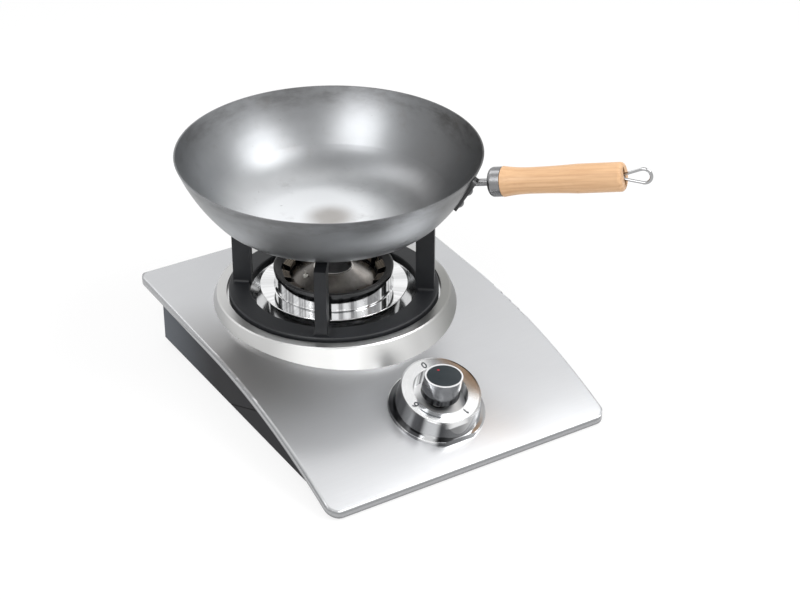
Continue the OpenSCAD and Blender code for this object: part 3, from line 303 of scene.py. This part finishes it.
def dial_metal(name):
    """Bright sheet turned on a lathe: faint rings, with painted reflections, grey behind the knob and brown
    at its right.
    """
    f = material(name)
    knob_reflection_grey = tone(0.27, 0.275, 0.28)
    brown = tone(0.26, 0.225, 0.185)
    local = f.place(KNOB_FRAME, KNOB_TURN)
    ring = f.rings(local, 0.4 * MM)
    cloud = f.noise(f.object_coords, 16.0, 4.0, 0.6)
    level = (ring * 0.5 + cloud * 0.5).band(0.35, 0.65)
    silver = f.mix(level, tone(0.752, 0.757, 0.761), tone(0.848, 0.853, 0.859))
    # Painted reflections: grey of the knob behind it and brown of the wooden handle at its right
    behind = f.lobe(local, 56, 36) * 0.85
    right = f.lobe(local, 2, 42) * 0.85
    color = f.mix(right, f.mix(behind, silver, knob_reflection_grey), brown)
    rough = 0.12 + 0.06 * (ring - 0.5) + 0.05 * (cloud - 0.5)
    return f.surface(color, rough, metal=1.0, normal=f.bump(ring, 0.06, 0.04 * MM))


def plated_metal(name, color, rough):
    """Bright plated metal with a faint haze of handling."""
    f = material(name)
    cloud = f.noise(f.object_coords, 40.0, 4.0, 0.6)
    fine = f.noise(f.object_coords, 900.0, 2.0)
    hazed = f.mix(cloud.band(0.35, 0.65), shade(color, 0.94), color)
    return f.surface(hazed, rough + 0.06 * cloud, metal=1.0, normal=f.bump(fine, 0.02, 0.03 * MM))


def tap_brass(name):
    """Drawn brass with a faint haze, blackened by painted shade on the tap's top, under the knob."""
    f = material(name)
    shade_black = tone(0.015, 0.014, 0.013)
    # Painted shade: the tap's top under the knob is black, rougher and not metal
    _, height = f.radius(f.place(KNOB_FRAME, KNOB_TURN))
    under_knob_shade = height.band(0, 1 * MM)
    cloud = f.noise(f.object_coords, 40.0, 4.0, 0.6)
    brass = f.mix(cloud.band(0.35, 0.65), tone(0.56, 0.39, 0.15), tone(0.6, 0.42, 0.16))
    return f.surface(f.mix(under_knob_shade, brass, shade_black), 0.28 + 0.06 * cloud + 0.2 * under_knob_shade, metal=1 - under_knob_shade)


def cast_metal(name, color, rough, metal, grit, depth):
    """Cast or enamelled iron: a fine orange-peel skin with tone that drifts."""
    f = material(name)
    peel = f.noise(f.object_coords, grit, 3.0, 0.6)
    cloud = f.noise(f.object_coords, 30.0, 4.0)
    drift = f.mix(cloud.band(0.35, 0.75), color, shade(color, 1.5))
    skin_rough = rough + 0.12 * (peel - 0.5) + 0.1 * (cloud - 0.5)
    return f.surface(drift, skin_rough, metal=metal, specular=0.35, normal=f.bump(peel, 0.35, depth))


def painted_sheet(name, front, rear, rough):
    """Powder paint: painted shade that is darkest at the front and lightens to the back, a fine leathery skin
    and a dark side seam.
    """
    f = material(name)
    skin = f.noise(f.object_coords, 1400.0, 2.0)
    cloud = f.noise(f.object_coords, 14.0)
    _, back, height = f.axes(f.object_coords)
    climb = (SEAM_START - back) * SEAM_RISE + SEAM_FOOT
    seam = 1 - (height - climb).math("ABSOLUTE").band(0.4 * MM, 0.9 * MM)
    # Painted shade: the paint is darkest at the front and lightens to the back
    paint = f.mix(cloud * 0.02, f.mix(back.band(-30 * MM, 120 * MM), front, rear), white)
    return f.surface(f.mix(seam, paint, black), rough + 0.1 * (cloud - 0.5), specular=0.04,
                     normal=f.bump(skin, 0.15, 0.05 * MM))


def moulded(name, color, rough):
    """Plastic, rubber or glazed ceramic: one colour, a little uneven, with a fine skin."""
    f = material(name)
    skin = f.noise(f.object_coords, 1100.0, 2.0)
    cloud = f.noise(f.object_coords, 80.0)
    return f.surface(f.mix(cloud.band(0.3, 0.7), color, shade(color, 1.12)), rough + 0.12 * (cloud - 0.5),
                     normal=f.bump(skin, 0.1, 0.04 * MM))


def burner_steel(name):
    """Polished steel: bright in the drip bowl, brown and sooted on the flame cone with painted shade away
    from the front, bright at its air hole.
    """
    f = material(name)
    soot_and_shade = tone(0.05, 0.045, 0.04)
    bright_lip = tone(0.62, 0.6, 0.57)
    radius, _ = f.radius(f.object_coords)
    cone = 1 - radius.band(48 * MM, 52 * MM)
    lip = 1 - radius.band(20.2 * MM, 20.8 * MM)
    cloud = f.noise(f.object_coords, 45.0, 4.0, 0.6)
    ring = f.rings(f.object_coords, 1.2 * MM)
    brown = f.mix(cloud.band(0.3, 0.7), tone(0.7, 0.66, 0.62), tone(0.44, 0.41, 0.38))
    # Soot with painted shade: darker away from the front and towards the ring, lighter in front as a painted
    # highlight
    front = f.lobe(f.object_coords, -90, 75)
    sooted_and_shaded = (1 - front).math("MAXIMUM", radius.band(30 * MM, 44 * MM)) * 0.85
    heated_and_shaded = f.mix(lip, f.mix(sooted_and_shaded, brown, soot_and_shade), bright_lip)
    bowl = f.mix(ring, tone(0.56, 0.565, 0.57), tone(0.66, 0.665, 0.67))
    return f.surface(f.mix(cone, bowl, heated_and_shaded), 0.1 + 0.08 * ring + 0.12 * cone, metal=1.0,
                     normal=f.bump(ring, 0.05, 0.04 * MM))


def flame_iron(name):
    """Black enamelled iron with bronze fins between the port blocks' slots, painted shade in the slots and a
    bright outer band.

    The fins are a cosine of the direction, wrapped to one block, and palest behind as a painted highlight.
    """
    f = material(name)
    bright_band = tone(0.6, 0.605, 0.61)
    slot_shade_black = tone(0.004, 0.004, 0.004)
    radius, height = f.radius(f.object_coords)
    across = (f.angle(f.object_coords) - BLOCK_PHASE).math("WRAP", BLOCK_STEP / 2, -BLOCK_STEP / 2)
    # Painted shade: the slots between the fins are black
    fin = (across * (2 * pi / SLOT_PITCH)).math("COSINE").band(0.3, 0.8)
    # Painted highlight: the fins are palest behind, where they face the front
    behind = f.lobe(f.object_coords, 60, 130)
    burnt = (1 - radius.band(52.5 * MM, 54 * MM)) * height.band(86 * MM, 88 * MM)
    below_chamfer = 1 - height.band(RING_TOP - 1.6 * MM, RING_TOP - 1.2 * MM)
    bright = radius.band(RING_R - 0.4 * MM, RING_R - 0.2 * MM) * below_chamfer
    cloud = f.noise(f.object_coords, 90.0, 4.0)
    peel = f.noise(f.object_coords, 1300.0, 3.0, 0.6)
    bronze = f.mix(behind, tone(0.16, 0.12, 0.085), tone(1.0, 0.86, 0.68))
    ports = f.mix(fin, slot_shade_black, bronze)
    iron = f.mix(cloud, tone(0.006, 0.006, 0.0065), tone(0.011, 0.011, 0.012))
    color = f.mix(bright, f.mix(burnt, iron, ports), bright_band)
    rough = 0.42 + 0.1 * (cloud - 0.5) - 0.34 * bright
    return f.surface(color, rough, metal=burnt * 0.6 + bright, specular=0.3,
                     normal=f.bump(peel, 0.12, 0.05 * MM))


def sleeve_chrome(name):
    """Mirror chrome round the burner: painted reflections as upright bands of tone on the sleeve, fainter on
    its bright flange.
    """
    f = material(name)
    # Painted reflections: upright bands of tone
    reflection_bands = f.upright_bands(f.object_coords, 6.5)
    radius, _ = f.radius(f.object_coords)
    flange = radius.band(62 * MM, 63 * MM)
    cloud = f.noise(f.object_coords, 40.0, 2.0)
    sleeve = f.mix(reflection_bands, tone(0.3, 0.3, 0.305), tone(0.8, 0.805, 0.81))
    plate = f.mix(reflection_bands, tone(0.74, 0.745, 0.75), tone(0.93, 0.935, 0.94))
    return f.surface(f.mix(flange, sleeve, plate), 0.06 + 0.04 * cloud, metal=1.0)


def bezel_chrome(name):
    """Chrome spun to a cone with painted reflections: dark at the left, a bright streak and a gleam in front,
    paler at the right.

    The well round the knob has painted reflections as upright bands on its wall and a painted shadow
    darkening towards the middle of its floor.
    """
    f = material(name)
    pale = tone(0.78, 0.785, 0.79)
    local = f.place(KNOB_FRAME, KNOB_TURN)
    radius, height = f.radius(local)
    ring = f.rings(local, 0.7 * MM)
    well = 1 - radius.band(28 * MM, 29 * MM)
    wall = radius.band(26.6 * MM, 27.2 * MM)
    # Painted reflections on the cone: dark at the left, a streak, a gleam in front, paler at the right and
    # behind
    left = f.lobe(local, -168, 12) * 0.2
    streak = f.lobe(local, -132, 14)
    front = f.lobe(local, -85, 34) * 0.22
    right = f.lobe(local, -45, 50) * 0.5
    behind = f.lobe(local, 95, 60) * 0.8
    gleam = f.lobe(local, -92, 24) * height.band(14.5 * MM, 16.5 * MM)
    level = (streak + front + left + right + behind).math("MAXIMUM", gleam)
    side = f.mix(level, tone(0.085, 0.086, 0.09), tone(0.76, 0.765, 0.77))
    # Painted reflections on the well's wall and a painted shadow towards the middle of its floor
    well_wall = f.mix(f.upright_bands(local, 3.4), tone(0.1, 0.1, 0.104), pale)
    well_floor = f.mix(radius.band(11 * MM, 17 * MM), tone(0.16, 0.16, 0.164), pale)
    return f.surface(f.mix(well, side, f.mix(wall, well_floor, well_wall)), 0.1 + 0.05 * ring + 0.2 * well,
                     metal=1 - 0.5 * well * (1 - wall), normal=f.bump(ring, 0.04, 0.04 * MM))


def collar_metal(name):
    """Satin sheet spun to a cone: faint rings, with painted reflections brightest in front and darkest at the
    right.
    """
    f = material(name)
    bright = tone(0.86, 0.86, 0.85)
    dark_reflection = tone(0.2, 0.2, 0.185)
    ring = f.rings(f.object_coords, 0.6 * MM)
    cloud = f.noise(f.object_coords, 14.0)
    # Painted reflections: brightest in front and darkest at the right
    front = f.lobe(f.object_coords, -114, 38)
    right = f.lobe(f.object_coords, -34, 42) * 0.74
    satin = f.mix(cloud, tone(0.52, 0.52, 0.515), tone(0.6, 0.6, 0.595))
    return f.surface(f.mix(right, f.mix(front, satin, bright), dark_reflection), 0.32 + 0.06 * (ring - 0.5), metal=1.0,
                     normal=f.bump(ring, 0.05, 0.04 * MM))


def knob_metal(name):
    """Satin metal with a painted highlight, bright on the rim round the cap."""
    f = material(name)
    rim_highlight = tone(0.9, 0.905, 0.91)
    ring = f.rings(f.place(KNOB_FRAME, KNOB_TURN), 0.7 * MM)
    _, height = f.radius(f.place(CAP_FRAME, CAP_TURN))
    # Painted highlight on the rim round the cap
    rim = height.band(-0.5 * MM, -0.2 * MM)
    cloud = f.noise(f.object_coords, 60.0)
    satin = f.mix(cloud, tone(0.21, 0.215, 0.225), tone(0.26, 0.265, 0.275))
    return f.surface(f.mix(rim, satin, rim_highlight), 0.2 + 0.06 * (ring - 0.5) - 0.08 * rim, metal=1 - 0.7 * rim,
                     normal=f.bump(ring, 0.05, 0.04 * MM))


def wok_metal(name):
    """Satin steel pressed to a bowl: lathe rings, darker mottling near the rim and a painted bright
    reflection on a rougher bottom.

    A brown painted reflection lies in the middle, and painted shade makes the wall darker to the right and
    behind.
    """
    f = material(name)
    shade_and_mottle_steel = tone(0.08, 0.078, 0.077)
    bottom_reflection_steel = tone(0.86, 0.875, 0.89)
    centre_reflection_brown = tone(0.26, 0.225, 0.195)
    stain_brown = tone(0.13, 0.115, 0.1)
    local = f.place(WOK_FRAME)
    radius, height = f.radius(local)
    ring = f.rings(local, 0.5 * MM)
    cloud = f.noise(f.object_coords, 11.0, 4.0)
    stain = f.noise(f.object_coords, 38.0, 5.0, 0.65).band(0.56, 0.8)
    speck = f.noise(f.object_coords, 260.0, 2.0).band(0.74, 0.79)
    # Painted bright reflection on the bottom, which is also rougher
    reach, _ = f.radius(f.place(BRIGHT_BOTTOM_PLACE))
    bright_bottom = 1 - (reach + 30 * MM * (cloud - 0.5)).band(46 * MM, 112 * MM)
    wall = f.mix(cloud.band(0.3, 0.7), tone(0.225, 0.232, 0.24), tone(0.265, 0.273, 0.282))
    # Painted shade: the wall darker to the right and behind
    right = f.lobe(local, -26, 64) * 0.64
    behind = f.lobe(local, 70, 26) * radius.band(60 * MM, 100 * MM) * 0.2
    mottle = f.noise(f.stretch(f.object_coords, (1, 1, 3)), 26.0, 5.0, 0.65).band(0.4, 0.7)
    near_rim = height.band(42 * MM, 78 * MM) * (0.12 + 0.4 * mottle)
    shaded_and_mottled_wall = f.mix((right + behind + near_rim) * (1 - bright_bottom), wall, shade_and_mottle_steel)
    wall_and_bright_bottom = f.mix(bright_bottom * 0.97, shaded_and_mottled_wall, bottom_reflection_steel)
    # Painted dark reflection, brown, in the middle of the bottom
    centre_reflection = (1 - radius.band(8 * MM, 34 * MM)) * (0.4 + 0.5 * cloud)
    color = f.mix(stain * 0.25 + speck * 0.6, f.mix(centre_reflection, wall_and_bright_bottom, centre_reflection_brown), stain_brown)
    rough = 0.36 + 0.19 * bright_bottom + 0.06 * (cloud - 0.5) + 0.02 * (ring - 0.5)
    return f.surface(color, rough, metal=1.0, normal=f.bump(ring, 0.03, 0.03 * MM))


def handle_wood(name):
    """Pale varnished wood: year rings cut lengthwise along the handle, long dark pores and small knots.

    The rings are a sine of the distance from a pith line beside the handle, which wanders a little.
    """
    f = material(name)
    pore_brown = tone(0.36, 0.19, 0.09)
    local = f.place(HANDLE_FRAME, HANDLE_TURN)
    wander = f.noise(f.stretch(local, (60, 60, 9)), 1.0)
    x, y, _ = f.axes(local)
    across = x + 21 * MM + 9 * MM * (wander - 0.5)
    aside = y + 13 * MM
    depth = (across * across + aside * aside) ** 0.5
    ring = (depth * 1100.0 + 3.0 * wander).math("SINE") * 0.5 + 0.5
    pores = f.noise(f.stretch(local, (1800, 1800, 60)), 1.0, 2.0)
    fleck = pores.band(0.62, 0.74)
    streak = f.noise(f.stretch(local, (420, 420, 16)), 1.0, 4.0, 0.6).band(0.35, 0.75)
    cloud = f.noise(f.stretch(local, (40, 40, 22)), 1.0)
    knot = f.noise(f.stretch(local, (230, 230, 75)), 1.0, 2.0).band(0.7, 0.78)
    grain = ring * 0.14 + streak * 0.42 + cloud * 0.3 + knot * 0.5
    wood = f.mix(grain, tone(0.66, 0.425, 0.245), tone(0.4, 0.215, 0.1))
    rough = 0.42 + 0.12 * (ring - 0.5) + 0.1 * fleck
    return f.surface(f.mix(fleck * 0.4, wood, pore_brown), rough, specular=0.3,
                     normal=f.bump(pores + 0.4 * ring, 0.06, 0.1 * MM))


# The finish of each material slot: its function and what that takes
recipes = {
    "brushed_top": (brushed_sheet, tone(0.575, 0.583, 0.595), 0.25),
    "collar_steel": (collar_metal,),
    # The housing's paint: the first tone is the dark front and the second the lighter back, as painted shade
    "dark_paint": (painted_sheet, tone(0.012, 0.012, 0.014), tone(0.1, 0.11, 0.125), 0.45),
    "zinc": (plated_metal, tone(0.6, 0.61, 0.63), 0.3),
    "foot_rubber": (moulded, tone(0.02, 0.02, 0.021), 0.7),
    "polished_steel": (burner_steel,),
    "cast_aluminium": (cast_metal, tone(0.42, 0.42, 0.43), 0.5, 1.0, 900.0, 0.1 * MM),
    "bright_chrome": (sleeve_chrome,),
    "black_enamel": (flame_iron,),
    "ceramic": (moulded, tone(0.8, 0.78, 0.72), 0.25),
    "lead_sleeve": (moulded, tone(0.7, 0.69, 0.66), 0.5),
    "ivory_plastic": (moulded, tone(0.72, 0.66, 0.5), 0.35),
    "gas_brass": (tap_brass,),
    "pipe_aluminium": (plated_metal, tone(0.62, 0.63, 0.64), 0.32),
    "spring_steel": (plated_metal, tone(0.5, 0.5, 0.5), 0.3),
    "knob_chrome": (bezel_chrome,),
    "dial_silver": (dial_metal,),
    "knob_satin": (knob_metal,),
    "cap_dark": (moulded, tone(0.02, 0.026, 0.03), 0.3),
    "dot_red": (moulded, tone(0.4, 0.018, 0.03), 0.3),
    "black_iron": (cast_metal, tone(0.0115, 0.0125, 0.0145), 0.5, 0.0, 700.0, 0.16 * MM),
    "wok_steel": (wok_metal,),
    "bracket_steel": (plated_metal, tone(0.07, 0.07, 0.072), 0.36),
    "rivet_steel": (plated_metal, tone(0.16, 0.16, 0.165), 0.3),
    "rod_steel": (plated_metal, tone(0.24, 0.24, 0.245), 0.24),
    "grip_wood": (handle_wood,),
    "loop_wire": (plated_metal, tone(0.4, 0.4, 0.405), 0.12),
}
finishes = {slot: make(slot, *values) for slot, (make, *values) in recipes.items()}

for subpart in frame["record"]["subparts"]:
    solid = frame["nodes"][subpart["node"]]
    solid.data.materials.clear()
    solid.data.materials.append(finishes[subpart["material_slot"]])


def add_piece(name, points, faces, slot_name, smooth):
    """A mesh piece at the origin that takes the finish of a slot, with smooth or flat faces."""
    mesh = bpy.data.meshes.new(name)
    mesh.from_pydata(points.tolist(), [], [tuple(face) for face in faces])
    mesh.validate()
    if smooth:
        mesh.shade_smooth()
    piece = bpy.data.objects.new(name, mesh)
    bpy.context.scene.collection.objects.link(piece)
    mesh.materials.append(finishes[slot_name])
    return piece


def lean_about_x(points, turn, y_place, z_place):
    """Points of a frame that is turned about X and moved to a place, in the frame around it."""
    x, y, z = points.T
    back = y_place + y * cos(turn) - z * sin(turn)
    up = z_place + y * sin(turn) + z * cos(turn)
    return np.stack([x, back, up], axis=1)


def knob_place(points):
    """Points of the knob's own frame, which stands on the curved top, in the part's frame."""
    return lean_about_x(points, KNOB_LEAN, KNOB_Y, KNOB_Z)


def dial_place(points):
    """Points of the dial's own frame, with zero height at the bezel's top, in the part's frame."""
    return knob_place(lean_about_x(points, DIAL_TILT, 0, DIAL_H))


def stroke(path, width, low, high):
    """A flat printed line: a rectangle carried along a path in the dial's plane.

    At each point of the path the two sides lie half the width to the left and right of its direction, at
    the heights low and high. The four corners are joined from point to point and closed at both ends.
    """
    run = np.gradient(path, axis=0)
    run = run / np.linalg.norm(run, axis=1)[:, None]
    side = np.stack([-run[:, 1], run[:, 0]], axis=1) * width / 2
    count = len(path)
    left = path + side
    right = path - side
    corners = ((right, low), (left, low), (left, high), (right, high))
    layers = [np.column_stack([edge, np.full(count, height)]) for edge, height in corners]
    points = np.stack(layers, axis=1).reshape(-1, 3)
    step = np.arange(count - 1)[:, None] * 4
    corner = np.arange(4)[None, :]
    following = (corner + 1) % 4
    faces = np.stack([step + corner, step + 4 + corner, step + 4 + following, step + following], axis=-1)
    last = 4 * count - 1
    ends = np.array([[0, 1, 2, 3], [last, last - 1, last - 2, last - 3]])
    return points, np.vstack([faces.reshape(-1, 4), ends])


def join(parts):
    """Several meshes of points and four-sided faces as one."""
    offsets = np.cumsum([0] + [len(points) for points, _ in parts[:-1]])
    faces = [part_faces + offset for (_, part_faces), offset in zip(parts, offsets)]
    return np.vstack([points for points, _ in parts]), np.vstack(faces)


def arc(centre, rx, ry, start, end, count):
    """Points on an ellipse from one angle to another, in degrees."""
    t = np.radians(np.linspace(start, end, count))
    return np.column_stack([centre[0] + rx * np.cos(t), centre[1] + ry * np.sin(t)])


def line(start, end, count=8):
    """Points on a straight line."""
    t = np.linspace(0, 1, count)[:, None]
    return np.array(start) * (1 - t) + np.array(end) * t


# The dial's marks: a nought at the back, a six at the left, a one in front, and an arc from six towards one
DIGIT_HALF_H = 3.1 * MM
PRINT_W = 1.4 * MM
SWEEP_W = 1.2 * MM
SWEEP_START = 202
SWEEP_END = 240
PRINT_LOW = DIAL_FACE - 0.04 * MM
PRINT_HIGH = DIAL_FACE + 0.06 * MM
DIAL_MID = 32.6 * MM

# Each digit's strokes, in shares of half its height, and its direction from the knob's axis, in degrees
nought = [arc((0, 0), 0.62, 1, 0, 360, 60)]
six = [arc((0, -0.42), 0.6, 0.58, 0, 360, 60), arc((0.42, -0.3), 1.02, 1.3, 180, 95, 30)]
one = [line((0.08, -1), (0.08, 1)), line((-0.42, 0.55), (0.08, 1))]
dial_parts = []
for digit, clock in ((nought, 90), (six, 190), (one, 290)):
    turn = radians(clock - 90)
    spin = np.array([[cos(turn), sin(turn)], [-sin(turn), cos(turn)]])
    out = DIAL_MID * np.array([cos(radians(clock)), sin(radians(clock))])
    for path in digit:
        dial_parts.append(stroke(DIGIT_HALF_H * path @ spin + out, PRINT_W, PRINT_LOW, PRINT_HIGH))
sweep = arc((0, 0), DIAL_MID, DIAL_MID, SWEEP_START, SWEEP_END, 60)
dial_parts.append(stroke(sweep, SWEEP_W, PRINT_LOW, PRINT_HIGH))
dial_points, dial_faces = join(dial_parts)
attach(add_piece("dial_marks", dial_place(dial_points), dial_faces, "cap_dark", False), "base")


def coil(radius, wire_r, turns, low, high, steps=24, sides=12):
    """A round wire wound to a helix: a circle of wire_r carried round the third axis.

    Its middle stays at radius and climbs evenly from low to high over the turns. The ends are closed flat.
    """
    count = turns * steps
    i, j = np.meshgrid(np.arange(count + 1), np.arange(sides), indexing="ij")
    along = 2 * pi * i / steps
    around = 2 * pi * j / sides
    reach = radius + wire_r * np.cos(around)
    climb = low + (high - low) * i / count
    height = climb + wire_r * np.sin(around)
    points = np.stack([reach * np.cos(along), reach * np.sin(along), height], axis=-1)
    ring = np.arange(count)[:, None] * sides
    here = ring + np.arange(sides)
    beside = ring + np.roll(np.arange(sides), -1)
    walls = np.stack([here, beside, beside + sides, here + sides], axis=-1).reshape(-1, 4)
    first_end = list(range(sides))[::-1]
    last_end = list(range(count * sides, (count + 1) * sides))
    return points.reshape(-1, 3), walls.tolist() + [first_end, last_end]


# The return spring between the tap and the knob
SPRING_R = 5 * MM
SPRING_WIRE_R = 0.5 * MM
SPRING_TURNS = 5
SPRING_LOW = 6.62 * MM
SPRING_HIGH = 14.38 * MM
spring_points, spring_faces = coil(SPRING_R, SPRING_WIRE_R, SPRING_TURNS, SPRING_LOW, SPRING_HIGH)
spring = add_piece("spring_coil", knob_place(spring_points), spring_faces, "spring_steel", True)
spring_ends = knob_place(np.array([[0, 0, SPRING_LOW], [0, 0, SPRING_HIGH]]))
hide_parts("return_spring")
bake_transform(spring)

# Camera: the photograph's viewing angle, with its image taken to be 800 by 600
CAMERA_AZIMUTH = radians(-31.70)
CAMERA_ELEVATION = radians(30.81)
CAMERA_PLACE = (-0.8586, -1.5214, 1.0965)
FOCAL_PX = 1938.1
IMAGE_W = 800
SENSOR = 36.0
scene = bpy.context.scene
camera = bpy.data.objects.new("camera", bpy.data.cameras.new("camera"))
camera.data.sensor_width = SENSOR
camera.data.lens = FOCAL_PX * SENSOR / IMAGE_W
camera.location = CAMERA_PLACE
camera.rotation_euler = (pi / 2 - CAMERA_ELEVATION, 0, CAMERA_AZIMUTH)
scene.collection.objects.link(camera)
scene.camera = camera
scene.view_settings.view_transform = "Standard"

# Soft lamps round the object
LAMP_AIM = (0, -0.05, 0.15)
LAMP_FAR = 1.8


def softbox(name, azimuth, elevation, size, power):
    """A square area lamp at an azimuth and an elevation from the object, in degrees, and turned to it."""
    lamp = bpy.data.lights.new(name, "AREA")
    lamp.shape = "SQUARE"
    lamp.size = size
    lamp.energy = power
    holder = bpy.data.objects.new(name, lamp)
    around = radians(azimuth)
    up = radians(elevation)
    holder.location = (LAMP_AIM[0] + LAMP_FAR * cos(up) * cos(around),
                       LAMP_AIM[1] + LAMP_FAR * cos(up) * sin(around),
                       LAMP_AIM[2] + LAMP_FAR * sin(up))
    holder.rotation_euler = (pi / 2 - up, 0, around + pi / 2)
    scene.collection.objects.link(holder)


softbox("lamp_right", azimuth=-42, elevation=50, size=1.1, power=22)
softbox("lamp_left", azimuth=-152, elevation=46, size=1.0, power=17)
softbox("lamp_back", azimuth=104, elevation=50, size=0.8, power=5)
softbox("lamp_front", azimuth=-108, elevation=14, size=0.5, power=0.5)

# The room: white as a backdrop, and a pale gradient, brighter overhead, as a light
ROOM_LOW = tone(0.42, 0.42, 0.43)
ROOM_HIGH = tone(0.72, 0.72, 0.72)
room = Finish(bpy.data.worlds.new("room"))
_, _, upward = room.axes(room.node("ShaderNodeTexCoord"))
soft = room.mix(upward.band(-0.1, 0.9), ROOM_LOW, ROOM_HIGH)
sky = room.mix(room.backdrop_share(), soft, white)
room.node("ShaderNodeOutputWorld", None, {0: room.node("ShaderNodeBackground", None, {0: sky, 1: 1.0})})
scene.world = room.owner

# The floor: pale, white as a backdrop apart from the object's soft shadow
FLOOR_REACH = 6.0
FLOOR_SQUARE = ((-1, -1), (1, -1), (1, 1), (-1, 1))
BACKDROP_SHARE = 0.8
floor_mesh = bpy.data.meshes.new("floor")
floor_corners = [(x * FLOOR_REACH, y * FLOOR_REACH, 0) for x, y in FLOOR_SQUARE]
floor_mesh.from_pydata(floor_corners, [], [(0, 1, 2, 3)])
floor = bpy.data.objects.new("floor", floor_mesh)
scene.collection.objects.link(floor)
ground = material("floor")
haze = ground.noise(ground.object_coords, 3.0)
pale = ground.mix(haze, tone(0.86, 0.86, 0.86), tone(0.88, 0.88, 0.88))
matt = ground.node("ShaderNodeBsdfDiffuse", None, {0: pale})
glow = ground.node("ShaderNodeEmission", None, {0: white, 1: 1.0})
glow_share = ground.backdrop_share() * BACKDROP_SHARE
seen = ground.node("ShaderNodeMixShader", None, {0: glow_share, 1: matt, 2: glow})
ground.node("ShaderNodeOutputMaterial", None, {0: seen})
floor_mesh.materials.append(ground.owner)
